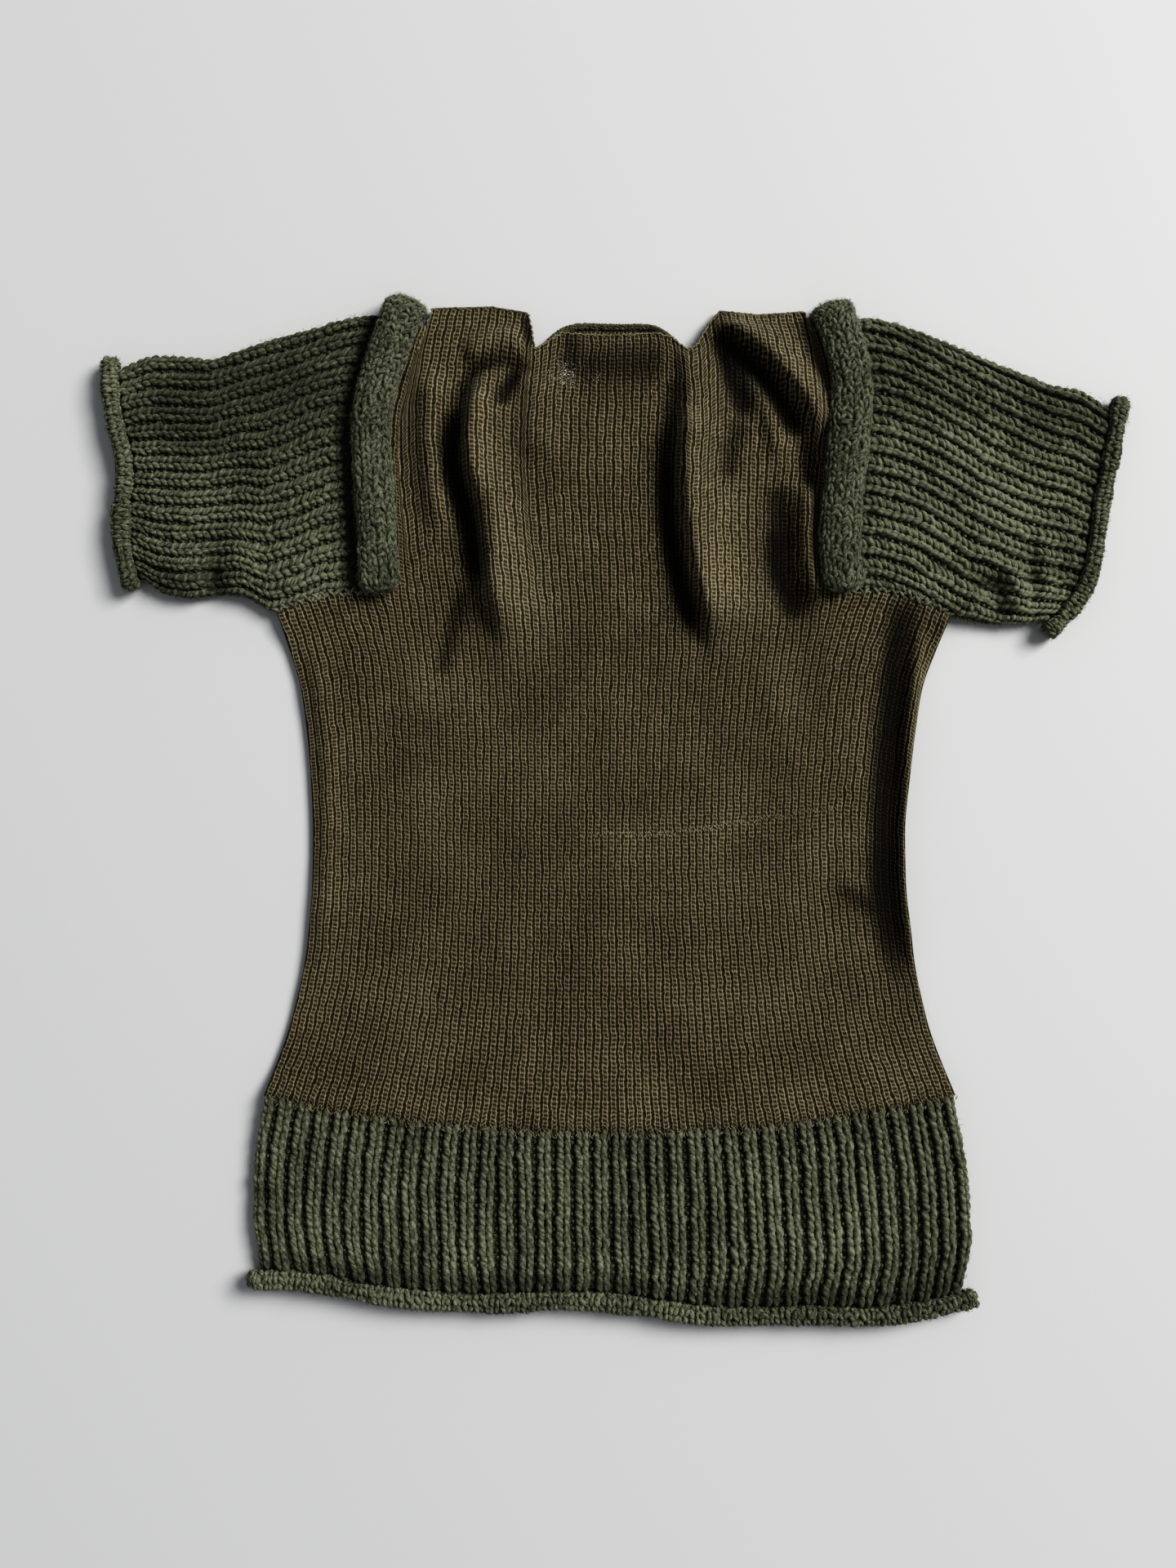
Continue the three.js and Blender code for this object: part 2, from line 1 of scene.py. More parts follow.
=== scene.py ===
# %% [markdown]
# # A darned wool sweater, laid flat on its back
#
# The real garment joins two knits. The body is a fine machine knit in olive brown. The short sleeves, the
# deep hem band and the rolled trims are a heavy hand knit in dark heather green. The model follows that:
# each knitted panel is its own piece, and the stitches of the heavy wool are loops of yarn, not a picture.
#
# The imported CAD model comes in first, as a frame that gives every outline and thickness. Lengths below are
# in millimetres and become metres only when a mesh is made, because knitters and rulers use millimetres.

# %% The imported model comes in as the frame
import json
import math

import bpy
import numpy as np
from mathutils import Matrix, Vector

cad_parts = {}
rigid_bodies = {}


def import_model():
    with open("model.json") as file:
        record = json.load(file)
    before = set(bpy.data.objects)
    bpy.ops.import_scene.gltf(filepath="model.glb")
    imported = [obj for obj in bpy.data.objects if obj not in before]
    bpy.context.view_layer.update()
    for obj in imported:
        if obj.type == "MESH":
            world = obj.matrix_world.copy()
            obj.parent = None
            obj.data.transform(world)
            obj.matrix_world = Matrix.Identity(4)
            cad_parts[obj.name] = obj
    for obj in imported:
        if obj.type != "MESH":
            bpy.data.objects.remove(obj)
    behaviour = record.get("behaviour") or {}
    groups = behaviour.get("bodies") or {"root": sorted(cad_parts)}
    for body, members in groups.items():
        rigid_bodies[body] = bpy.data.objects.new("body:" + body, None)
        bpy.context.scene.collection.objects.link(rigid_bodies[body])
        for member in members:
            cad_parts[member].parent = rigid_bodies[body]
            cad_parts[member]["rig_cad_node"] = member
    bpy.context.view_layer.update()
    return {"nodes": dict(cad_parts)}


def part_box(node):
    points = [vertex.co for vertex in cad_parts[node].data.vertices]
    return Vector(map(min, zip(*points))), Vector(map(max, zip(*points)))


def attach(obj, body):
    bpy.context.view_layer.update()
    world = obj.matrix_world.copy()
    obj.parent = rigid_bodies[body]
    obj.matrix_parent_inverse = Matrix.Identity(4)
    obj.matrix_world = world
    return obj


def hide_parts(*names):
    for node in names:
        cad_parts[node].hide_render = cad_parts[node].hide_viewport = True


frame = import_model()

MM = 0.001
for node in sorted(frame["nodes"]):
    low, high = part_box(node)
    print(node, [round(side / MM, 1) for side in high - low], "mm")

# %% [markdown]
# ## Reading an outline off a CAD piece
#
# A panel's outline is the border of its upward faces. An edge that belongs to one upward face only lies on
# that border, so walking such edges from end to end gives a closed line round the panel. Everything that is
# knitted later is stretched between parts of these lines, so the looks can't drift from the CAD model.

# %% The border of a node's topmost upward faces
UPWARD = 0.3  # least upward part of a face's normal
SCRAP = 0.2  # a group of faces under this share of the largest one isn't the top


def welded(node):
    """A node's corner points in millimetres, each kept once, and its faces as numbers of those points."""
    mesh = frame["nodes"][node].data
    places = np.empty(len(mesh.vertices) * 3)
    mesh.vertices.foreach_get("co", places)
    rounded = np.round(places.reshape(-1, 3) / MM, 3)
    points, number = np.unique(rounded, axis=0, return_inverse=True)
    number = number.reshape(-1)
    return points, [[int(number[v]) for v in face.vertices] for face in mesh.polygons]


def top_rim(node):
    """The closed line round a node's topmost surface, anticlockwise seen from above."""
    points, faces = welded(node)
    upward = []
    for face in faces:
        a, b, c = points[face[0]], points[face[1]], points[face[2]]
        normal = np.cross(b - a, c - a)
        if normal[2] > UPWARD * np.linalg.norm(normal):
            upward.append(face)
    owner = {}
    for k, face in enumerate(upward):
        for a, b in zip(face, face[1:] + face[:1]):
            owner[a, b] = k
    group = [-1] * len(upward)
    groups = []
    for start in range(len(upward)):
        if group[start] >= 0:
            continue
        group[start] = len(groups)
        found, queue = [], [start]
        while queue:
            k = queue.pop()
            found.append(k)
            face = upward[k]
            for a, b in zip(face, face[1:] + face[:1]):
                other = owner.get((b, a), -1)
                if other >= 0 and group[other] < 0:
                    group[other] = len(groups)
                    queue.append(other)
        groups.append(found)
    heights = [np.mean([points[v][2] for k in found for v in upward[k]]) for found in groups]
    enough = SCRAP * max(len(found) for found in groups)
    best = max((g for g in range(len(groups)) if len(groups[g]) >= enough), key=lambda g: heights[g])
    after = {a: b for (a, b), k in owner.items() if group[k] == best and (b, a) not in owner}
    loops = []
    while after:
        first, here = next(iter(after.items()))
        del after[first]
        loop = [first]
        while here != first:
            loop.append(here)
            here = after.pop(here)
        loops.append(points[loop])
    return max(loops, key=lambda line: np.ptp(line[:, 0]) + np.ptp(line[:, 1]))


rims = {node: top_rim(node) for node in frame["nodes"]}
for node, rim in sorted(rims.items()):
    print(node, "rim of", len(rim), "points")

# %% Cutting a rim at its corners, and spacing points evenly along a line
def corner(node, toward):
    """The number of the rim point that lies furthest in a direction in plan."""
    return int(np.argmax(rims[node][:, :2] @ np.array(toward, float)))


def nearest_corner(node, place):
    return int(np.argmin(np.linalg.norm(rims[node][:, :2] - np.array(place)[:2], axis=1)))


def between(node, start, end):
    """The rim from one of its points to another, anticlockwise."""
    rim = rims[node]
    count = (end - start) % len(rim)
    return rim[(start + np.arange(count + 1)) % len(rim)]


def evenly(line, count, smooth=0, steepness=1.0):
    """A line as that many points, evenly spaced. Each smoothing pass rounds off its facets a little.
    A steepness under 1 spends fewer points where the line runs up or down."""
    steps = np.linalg.norm(np.diff(line[:, :2], axis=0) * [1.0, steepness], axis=1)
    reach = np.concatenate([[0], np.cumsum(steps)])
    wanted = np.linspace(0, reach[-1], count)
    spaced = np.stack([np.interp(wanted, reach, line[:, k]) for k in range(line.shape[1])], axis=1)
    for _ in range(smooth):
        spaced[1:-1] += 0.5 * (0.5 * (spaced[:-2] + spaced[2:]) - spaced[1:-1])
    return spaced


def length_of(line):
    return float(np.linalg.norm(np.diff(line, axis=0), axis=1).sum())


print("the hem band's rim is", round(length_of(rims["hem_band"])), "mm round")

# %% [markdown]
# ## A panel stretched between four lines
#
# A knitted panel is bounded by seams on four sides, and its wales run from one to the opposite one. A Coons
# patch does the same: it blends two pairs of facing lines and subtracts the corners that were counted twice.
# The result is a dense grid of points, and the knit is laid on it afterwards.

# %% Panels, and forms that a knit is laid on
def panel(low, high, start, end):
    """A grid of points between four lines: low and high run across, start and end run along."""
    across = np.linspace(0, 1, len(low))[None, :, None]
    along = np.linspace(0, 1, len(start))[:, None, None]
    between_rows = low[None] * (1 - along) + high[None] * along
    between_columns = start[:, None] * (1 - across) + end[:, None] * across
    low_row = low[0] * (1 - across) + low[-1] * across
    high_row = high[0] * (1 - across) + high[-1] * across
    return between_rows + between_columns - low_row * (1 - along) - high_row * along


def look_up(grid, across, along):
    """Values at shares across and along a grid that goes round from its last column to its first."""
    rows, columns = grid.shape[:2]
    row, column = np.asarray(along) * (rows - 1), np.asarray(across) * columns
    low_row = np.clip(np.floor(row).astype(int), 0, rows - 2)
    low_column = np.floor(column).astype(int)
    left, right = low_column % columns, (low_column + 1) % columns
    row_share, column_share = (row - low_row)[..., None], (column - low_column)[..., None]
    lower = grid[low_row, left] * (1 - column_share) + grid[low_row, right] * column_share
    upper = grid[low_row + 1, left] * (1 - column_share) + grid[low_row + 1, right] * column_share
    return lower * (1 - row_share) + upper * row_share


def unit(vectors):
    return vectors / (np.linalg.norm(vectors, axis=-1, keepdims=True) + 1e-12)


class Form:
    """A smooth tube that a knit is laid on, with its outward direction at every point."""

    def __init__(self, points, cores=None, twist=0.0):
        """cores are points inside it. twist is how far round the knit has turned at the first row."""
        self.points, self.twist = points, twist
        across = np.roll(points, -1, axis=1) - np.roll(points, 1, axis=1)
        outward = points - (points.mean(axis=1, keepdims=True) if cores is None else cores)
        normals = unit(np.cross(across, np.gradient(points, axis=0)))
        self.normals = normals if (normals * outward).sum() >= 0 else -normals

    def lay(self, across, along, height):
        """Where a point of the knit lands, given as shares across and along and a height in millimetres."""
        across = across + self.twist * (1 - np.asarray(along))
        outward = unit(look_up(self.normals, across, along))
        return look_up(self.points, across, along) + outward * np.asarray(height)[..., None]


def soft(turn):
    return turn * turn * (3 - 2 * turn)


def wavy(seed, share, knots):
    """A smooth random line, between -1 and 1, looked up at shares along it."""
    draws = np.random.default_rng(seed).uniform(-1, 1, knots + 2)
    place = np.clip(np.asarray(share, float), 0, 1) * knots
    low = np.floor(place).astype(int)
    turn = soft(place - low)
    return draws[low] * (1 - turn) + draws[low + 1] * turn


CLOUDS = 64  # a cloudy pattern repeats after this many clouds


def cloudy(seed, x, y, size):
    """Smooth random values, between -1 and 1, over the plane, with clouds about that many mm across."""
    draws = np.random.default_rng(seed).uniform(-1, 1, (CLOUDS, CLOUDS))
    column, row = np.asarray(x, float) / size, np.asarray(y, float) / size
    left, low = np.floor(column).astype(int), np.floor(row).astype(int)
    turn, rise = soft(column - left), soft(row - low)
    lower, upper = [draws[level % CLOUDS, left % CLOUDS] * (1 - turn)
                    + draws[level % CLOUDS, (left + 1) % CLOUDS] * turn for level in (low, low + 1)]
    return lower * (1 - rise) + upper * rise


print("a flat test panel has", panel(*[np.zeros((4, 3))] * 4).shape, "points")

# %% [markdown]
# ## From points to a Blender mesh
#
# Every piece below is a set of grids of points. One helper joins them into a mesh in one go, with a map
# that says where on the yarn or the knit each corner is: the materials draw plies and stitches by that map.

# %% Making a piece from sheets of points
def grid_corners(rows, columns, closed=False, first=0):
    """The faces of a grid, as point numbers, and each corner's row and column."""
    wide = columns if closed else columns - 1
    row, column = np.meshgrid(np.arange(rows - 1), np.arange(wide), indexing="ij")
    row = row.ravel()[:, None] + np.array([0, 0, 1, 1])
    column = column.ravel()[:, None] + np.array([0, 1, 1, 0])
    return first + row * columns + column % columns, row, column


def enclosed(points, faces):
    """Six times the volume inside closed faces, negative where they are inside out."""
    total = 0.0
    for part in faces:
        for k in range(1, part.shape[1] - 1):
            a, b, c = points[part[:, 0]], points[part[:, k]], points[part[:, k + 1]]
            total += float((a * np.cross(b, c)).sum())
    return total


def make_mesh(name, points, faces, corners, painted_shade):
    """A piece from points in millimetres, lists of faces, and the map places of their corners. painted_shade
    is the painted shade of each point, for lying in a hollow, which its finish darkens its colour by."""
    mesh = bpy.data.meshes.new(name)
    mesh.vertices.add(len(points))
    mesh.vertices.foreach_set("co", (points * MM).astype(np.float32).ravel())
    loops = np.concatenate([part.ravel() for part in faces])
    sizes = np.concatenate([np.full(len(part), part.shape[1]) for part in faces])
    mesh.loops.add(len(loops))
    mesh.loops.foreach_set("vertex_index", loops.astype(np.int32))
    mesh.polygons.add(len(sizes))
    starts = np.concatenate([[0], np.cumsum(sizes)[:-1]])
    mesh.polygons.foreach_set("loop_start", starts.astype(np.int32))
    mesh.polygons.foreach_set("use_smooth", np.ones(len(sizes), bool))
    places = np.concatenate([part.reshape(-1, 2) for part in corners])
    knit_map = mesh.uv_layers.new(name="knit")
    knit_map.uv.foreach_set("vector", places.astype(np.float32).ravel())
    # painted shade: a darkening for each point, read by the finishes, that stands in for shade in hollows
    depths = mesh.attributes.new("painted_shade", "FLOAT", "POINT")
    depths.data.foreach_set("value", painted_shade.astype(np.float32).ravel())
    mesh.update(calc_edges=True)
    if enclosed(points, faces) < 0:
        mesh.flip_normals()
    piece = bpy.data.objects.new(name, mesh)
    bpy.context.scene.collection.objects.link(piece)
    return piece


def triangles(piece):
    return sum(len(face.vertices) - 2 for face in piece.data.polygons)


def dress(piece, finish, node=None):
    """Gives a piece its finish and its body, and hides the CAD node that it stands for."""
    piece.data.materials.append(finish)
    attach(piece, "root")
    if node:
        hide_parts(node)
    print(piece.name, triangles(piece), "triangles")


def cloth(name, outer, inner, scale, closed=False, holes=None, painted_shade=0.0):
    """A wall between two grids of points. scale gives the knit map's step across, and its step along or its
    place at each row. holes marks the missing faces. painted_shade is the painted shade of all its points."""
    rows, columns = outer.shape[:2]
    points = np.concatenate([outer.reshape(-1, 3), inner.reshape(-1, 3)])
    count = rows * columns
    top, row, column = grid_corners(rows, columns, closed)
    keep = np.ones(len(top), bool) if holes is None else ~holes.ravel()
    present = np.zeros((rows + 1, columns + 1), bool)
    wide = columns if closed else columns - 1
    present[1:rows, 1:wide + 1] = keep.reshape(rows - 1, wide)
    marks = np.arange(rows) * scale[1] if np.ndim(scale[1]) == 0 else scale[1]
    places = np.stack([column * scale[0], marks[row]], axis=-1).astype(float)
    faces, maps = [top[keep], (top + count)[keep][:, ::-1]], [places[keep], places[keep][:, ::-1]]
    inside = present[1:rows, 1:wide + 1]
    for (up, right), (a, b) in {(-1, 0): (0, 1), (0, 1): (1, 2), (1, 0): (2, 3), (0, -1): (3, 0)}.items():
        if closed and up == 0:
            neighbour = np.roll(inside, -right, axis=1)
        else:
            neighbour = present[1 + up:rows + up, 1 + right:wide + 1 + right]
        edge = (inside & ~neighbour).ravel()
        start, end = top[edge, a], top[edge, b]
        faces.append(np.stack([end, start, start + count, end + count], axis=1))
        maps.append(places[edge][:, [b, a, a, b]])
    return make_mesh(name, points, faces, maps, np.zeros((2, rows, columns)) + painted_shade)


print("a grid of 3 by 4 points has", len(grid_corners(3, 4)[0]), "faces")

# %% [markdown]
# ## Legs of yarn
#
# A knit stitch shows as a V: two plump legs of yarn that rise and lean apart. Its next row starts inside its
# opening. So a stitch here is two short rods that are thick in the middle, tucked under at both ends, and
# leaned outwards. They are made in the flat, counted in ribs and rows, and then laid on a form.

# %% Rods of yarn, made in the flat and laid on a form
TIP = 0.07  # a rod is cut off at this share of its swell, so that its end isn't a point
SIZE_SPREAD = 0.06  # how much rods differ in size, as a share
HEIGHT_SPREAD = 0.6  # how much they differ in height, against how much they differ in place


def rods(middle, reach, *, thick, sunk, rings, sides, seed, jitter=0.25, lift=0.0, plump=0.62, stray=0.0):
    """Short rods of yarn. middle and reach are (across, along) in millimetres, an array for each rod. The
    smaller plump is, the blunter their ends are. stray is how far they turn at random, in radians."""
    rng = np.random.default_rng(seed)
    count = len(middle[0])
    share = np.linspace(0, 1, rings)
    swell = np.sin(math.pi * (TIP + (1 - 2 * TIP) * share)) ** plump
    sway = rng.normal(0, jitter, (count, 3))
    size = 1 + rng.normal(0, SIZE_SPREAD, (count, 1))
    turned = rng.normal(0, 1, (count, 1)) * stray
    reach_across = (reach[0][:, None] * np.cos(turned) + reach[1][:, None] * np.sin(turned)) * size
    reach_along = (reach[1][:, None] * np.cos(turned) - reach[0][:, None] * np.sin(turned)) * size
    across = middle[0][:, None] + reach_across * (share - 0.5) + sway[:, :1]
    along = middle[1][:, None] + reach_along * (share - 0.5) + sway[:, 1:2]
    height = lift - sunk * (2 * share - 1) ** 2 + HEIGHT_SPREAD * sway[:, 2:3]
    long = np.hypot(reach_across, reach_along)[..., None]
    turn = 2 * math.pi * (np.arange(sides) + 0.5) / sides
    radius = (thick * swell * size)[..., None]
    wide, tall = radius * np.cos(turn), radius * np.sin(turn)
    return {"across": across[..., None] - wide * reach_along[..., None] / long,
            "along": along[..., None] + wide * reach_across[..., None] / long,
            "height": height[..., None] + tall,
            "start": rng.uniform(0, 1, (count, 2)), "length": float(long.mean())}


def knit(form, counts, gauge, rib, row, made):
    """Lays rods on a form. counts are its ribs and rows, gauge a rib's width and a row's height."""
    across = (rib[:, None, None] + 0.5 + made["across"] / gauge[0]) / counts[0]
    along = (row[:, None, None] + 0.5 + made["along"] / gauge[1]) / counts[1]
    # the last value is the yarn's painted shade: darker the lower it lies, lighter where it stands proud
    return form.lay(across, along, made["height"]), made["start"], made["length"], -made["height"]


def v_legs(rib, side, lean, length, wobble=0.0, **shape):
    """The two legs of V stitches. lean is how far from the rib's middle a leg starts and ends."""
    near, far = lean
    middle = side * (near + far) / 2 + wobble, 0.0 * rib
    return rods(middle, (side * (far - near) + 0.0 * rib, length + 0.0 * rib), **shape)


TABLE_GAP = 0.05  # yarn that is pressed against the table goes no lower than this
GROUND_PAINTED_SHADE = 2.4  # the painted shade of a yarn piece's ground, which lies in the hollows
PAINTED_LIGHT_MOST = 2.0  # painted light: yarn standing proud of the hollows is painted lighter, as if at most this far proud
GROUND_TURN = 0.3  # turns of the knit map for each column of the ground
YARN_SPAN = 40.0  # each rod's map starts at random within this length of yarn


def yarn_piece(name, batches, ground=None):
    """One piece from batches of laid rods, and a ground under them: rings of points with capped ends."""
    points, faces, maps, painted_shade, first = [], [], [], [], 0
    if ground is not None:
        rows, columns = ground.shape[:2]
        painted_shade.append(np.full(rows * columns, GROUND_PAINTED_SHADE))
        quad, row, column = grid_corners(rows, columns, closed=True)
        points.append(ground.reshape(-1, 3))
        faces.append(quad)
        maps.append(np.stack([row, column * GROUND_TURN], axis=-1).astype(float))
        for end, order in ((0, -1), (rows - 1, 1)):
            faces.append(np.arange(columns)[None, ::order] + end * columns)
            maps.append(np.zeros((1, columns, 2)))
        first = rows * columns
    for laid, start, length, depth in batches:
        laid = np.maximum(laid, [-np.inf, -np.inf, TABLE_GAP])
        count, rings, sides = laid.shape[:3]
        quad, row, column = grid_corners(rings, sides, closed=True)
        shift = first + np.arange(count)[:, None, None] * rings * sides
        faces.append((quad[None] + shift).reshape(-1, 4))
        offset = (start * [YARN_SPAN, 1.0])[:, None, None]
        place = np.stack([row / (rings - 1) * length, column / sides], axis=-1)[None]
        maps.append((place + offset).reshape(-1, 4, 2))
        for ring, order in ((0, -1), (rings - 1, 1)):
            faces.append((np.arange(sides)[::order] + ring * sides)[None] + shift[:, 0])
            spot = np.array([ring / (rings - 1) * length, 0.5])
            maps.append(np.broadcast_to(spot + offset[:, 0], (count, sides, 2)))
        points.append(laid.reshape(-1, 3))
        # painted shade on low yarn, and painted light on proud yarn up to a limit
        painted_shade.append(np.maximum(depth, -PAINTED_LIGHT_MOST).ravel())
        first += count * rings * sides
    return make_mesh(name, np.concatenate(points), faces, maps, np.concatenate(painted_shade))


def every(ribs, rows):
    """Rib number, side and row number of each leg of a patch of knitting."""
    rib, side, row = np.meshgrid(ribs, [-1, 1], rows, indexing="ij")
    return rib.ravel(), side.ravel(), row.ravel()


print("a patch of 3 ribs and 4 rows has", len(every(range(3), range(4))[0]), "legs")

# %% [markdown]
# ## The camera, the table and the light
#
# The garment is seen from straight above. The light is a large soft window on the upper right, so folds
# throw short soft shadows to the lower left, and a pale room fills them in.

# %% Camera, floor and lights
MIDDLE = (-16.5, 16.0)  # the point of the table under the camera, in millimetres
VIEW_HEIGHT = 960.0  # how much of the table the camera takes in, from top to bottom
LENS, SENSOR = 35.0, 36.0
FOCUS_PLANE = 6.0  # the height at which the view takes in exactly VIEW_HEIGHT
WINDOW_PLACE, WINDOW_SIZE, WINDOW_POWER = (6.6, 3.9, 6.6), 4.7, 990  # metres, metres and watts
ROOM_STRENGTH = 0.19

camera_data = bpy.data.cameras.new("camera")
camera_data.lens, camera_data.sensor_width = LENS, SENSOR
camera = bpy.data.objects.new("camera", camera_data)
camera.location = (MIDDLE[0] * MM, MIDDLE[1] * MM, (VIEW_HEIGHT * LENS / SENSOR + FOCUS_PLANE) * MM)
bpy.context.scene.collection.objects.link(camera)
bpy.context.scene.camera = camera
bpy.context.scene.view_settings.view_transform = "Standard"
bpy.context.scene.view_settings.look = "High Contrast"

light = bpy.data.lights.new("window", "AREA")
light.shape, light.size, light.energy, light.color = "SQUARE", WINDOW_SIZE, WINDOW_POWER, (1.0, 0.985, 0.96)
window = bpy.data.objects.new("window", light)
window.location = WINDOW_PLACE
window.rotation_euler = (-Vector(WINDOW_PLACE)).to_track_quat("-Z", "Y").to_euler()
bpy.context.scene.collection.objects.link(window)

world = bpy.data.worlds.new("room")
bpy.context.scene.world = world
world.use_nodes = True
world.node_tree.nodes["Background"].inputs["Color"].default_value = (0.93, 0.96, 1.0, 1)
world.node_tree.nodes["Background"].inputs["Strength"].default_value = ROOM_STRENGTH

bpy.ops.mesh.primitive_plane_add(size=14, location=(0, 0, -0.0002))
floor = bpy.context.object
floor.name = "floor"
paper = bpy.data.materials.new("pale_table")
paper.use_nodes = True
paper.node_tree.nodes["Principled BSDF"].inputs["Base Color"].default_value = (0.655, 0.66, 0.665, 1)
paper.node_tree.nodes["Principled BSDF"].inputs["Roughness"].default_value = 0.7
floor.data.materials.append(paper)
print("camera", round(camera.location.z / MM), "mm above the table")

# %% [markdown]
# ## Finishes
#
# Heavy wool is spun from dyed fibres of several greens, so up close it is flecked, and its plies wind round
# each other. Both are drawn along the yarn by the knit map: waves for the plies, noise for the flecks. The
# fine knit is one thin olive yarn. Its ribs show as two light lines with rungs between them, and the dark
# holes of the ladder between the rungs, which are darkened by painted shade. Both finishes also take a
# painted shade attribute of the mesh: painted shade in hollows and creases, painted light on high places.

# %% A small kit for wiring materials
def feed(socket, value):
    """Links a wire into a socket, or sets the socket to a plain value."""
    if isinstance(value, Wire):
        value.tree.links.new(value.output, socket)
    else:
        socket.default_value = value


class Wire:
    """A value inside a material. Sums written with wires are wired up as math nodes."""

    def __init__(self, tree, output):
        self.tree, self.output = tree, output

    def math(self, operation, *others):
        made = self.tree.nodes.new("ShaderNodeMath")
        made.operation = operation
        for socket, value in zip(made.inputs, (self, *others)):
            feed(socket, value)
        return Wire(self.tree, made.outputs[0])

    def __add__(self, other):
        return self.math("ADD", other)

    def __sub__(self, other):
        return self.math("SUBTRACT", other)

    def __mul__(self, other):
        return self.math("MULTIPLY", other)

    def __truediv__(self, other):
        return self.math("DIVIDE", other)

    def wave(self, operation):
        """A sine or cosine between 0 and 1, with a whole wave for each step of 1."""
        return (self * (2 * math.pi)).math(operation) * 0.5 + 0.5

    def most(self, other):
        return self.math("MAXIMUM", other)


class Finish:
    """A cloth's material. Its place wire is in metres, and its map wires come from the knit map."""

    def __init__(self, name, roughness=0.9, sheen=0.35):
        self.material = bpy.data.materials.new(name)
        self.material.use_nodes = True
        self.tree = self.material.node_tree
        self.shader = self.tree.nodes["Principled BSDF"]
        self.shader.inputs["Roughness"].default_value = roughness
        self.shader.inputs["Sheen Weight"].default_value = sheen
        self.shader.inputs["Sheen Tint"].default_value = (0.6, 0.62, 0.5, 1)
        self.shader.inputs["Sheen Roughness"].default_value = 0.45
        self.shader.inputs["Specular IOR Level"].default_value = 0.15
        self.place = self.node("ShaderNodeTexCoord", "Object")
        knit_map = self.node("ShaderNodeSeparateXYZ", "X", Vector=self.node("ShaderNodeUVMap", "UV"))
        self.map_x, self.map_y = knit_map, Wire(self.tree, knit_map.output.node.outputs["Y"])

    def node(self, kind, output, **inputs):
        """A node of a kind, with its inputs fed, as the wire of one of its outputs."""
        made = self.tree.nodes.new(kind)
        for key, value in inputs.items():
            feed(made.inputs[key.replace("_", " ")], value)
        return Wire(self.tree, made.outputs[output])

    def noise(self, scale, detail=2.0, roughness=0.5):
        return self.node("ShaderNodeTexNoise", "Fac", Vector=self.place, Scale=scale, Detail=detail,
                         Roughness=roughness)

    def depth(self):
        """The painted shade of each point of the mesh: how much darker its colour is painted for lying in a
        hollow.
        """
        made = self.node("ShaderNodeAttribute", "Fac")
        made.output.node.attribute_name = "painted_shade"
        return made

    def distance(self, spot):
        """How many metres each point is from a spot."""
        made = self.tree.nodes.new("ShaderNodeVectorMath")
        made.operation = "DISTANCE"
        feed(made.inputs[0], self.place)
        feed(made.inputs[1], spot)
        return Wire(self.tree, made.outputs["Value"])

    def ramp(self, factor, *stops):
        """A colour for each value: stops are (position, (red, green, blue))."""
        made = self.node("ShaderNodeValToRGB", "Color", Fac=factor)
        elements = made.output.node.color_ramp.elements
        while len(elements) < len(stops):
            elements.new(0.5)
        for element, (position, colour) in zip(elements, stops):
            element.position, element.color = position, (*colour, 1)
        return made

    def mixed(self, factor, low, high):
        """The low colour's wire where the factor is 0, and the high colour where it is 1."""
        made = self.tree.nodes.new("ShaderNodeMix")
        made.data_type = "RGBA"
        for number, value in ((0, factor), (6, low), (7, (*high, 1))):
            feed(made.inputs[number], value)
        return Wire(self.tree, made.outputs[2])

    def finish(self, colour, height, relief):
        """Wires up the colour and the bump. relief is how many millimetres a height of 1 stands for."""
        feed(self.shader.inputs["Base Color"], colour)
        bump = self.node("ShaderNodeBump", "Normal", Strength=1.0, Distance=relief * MM, Height=height)
        feed(self.shader.inputs["Normal"], bump)
        return self.material


# %% The heavy heather wool
def heavy_wool(name, dark, middle, light, ply_length=5.2):
    """Plied flecked yarn. The knit map counts millimetres along the yarn and turns round it."""
    wool = Finish(name)
    ply = (wool.map_x / ply_length + wool.map_y * 3.0).wave("SINE")
    fleck = wool.noise(1150, 3.0, 0.65)
    tuft = wool.noise(300, 2.0, 0.55)
    patch = wool.noise(24)
    # painted shade: the colour darkens with the mesh's painted shade attribute, and lightens where it is
    # below 0
    shade = ply * 0.12 + fleck * 0.56 + tuft * 0.34 + patch * 0.30 - (wool.depth() * 0.042 - 0.02)
    colour = wool.ramp(shade, (0.44, dark), (0.62, middle), (0.80, light))
    return wool.finish(colour, ply * 0.22 + fleck * 0.95, 0.85)


HEATHER = heavy_wool("heather_wool", (0.021, 0.0245, 0.0150), (0.089, 0.096, 0.059), (0.272, 0.284, 0.192))
ROLL = heavy_wool("roll_wool", (0.015, 0.0175, 0.0105), (0.066, 0.073, 0.044), (0.23, 0.242, 0.165))

# %% The fine body knit
RAILS = (0.235, 0.765)  # where a rib's two light lines run, as shares of its width
RAIL_WIDTH = 0.165
RUNG_SLANT = 0.4  # courses that a rung drops on its way across the rib
GAP_LEVEL = 0.30  # the knit is open where its height is below this
OLIVE_STOPS = [(0.20, (0.0050, 0.0036, 0.0022)), (0.52, (0.064, 0.0515, 0.0265)),
               (0.82, (0.335, 0.286, 0.174))]
HOLE_PAINTED_LIGHT = (0.44, 0.45, 0.40)  # painted light: the pale, lit table as it would show through the worn knit's holes
WORN_LEVEL = 7.0  # how high over the table the worn spots are
WORN_PLACES = [((-31, 266), 19, 0.62), ((-12, 264), 10, 0.5)]  # a spot, its reach, and how worn it is


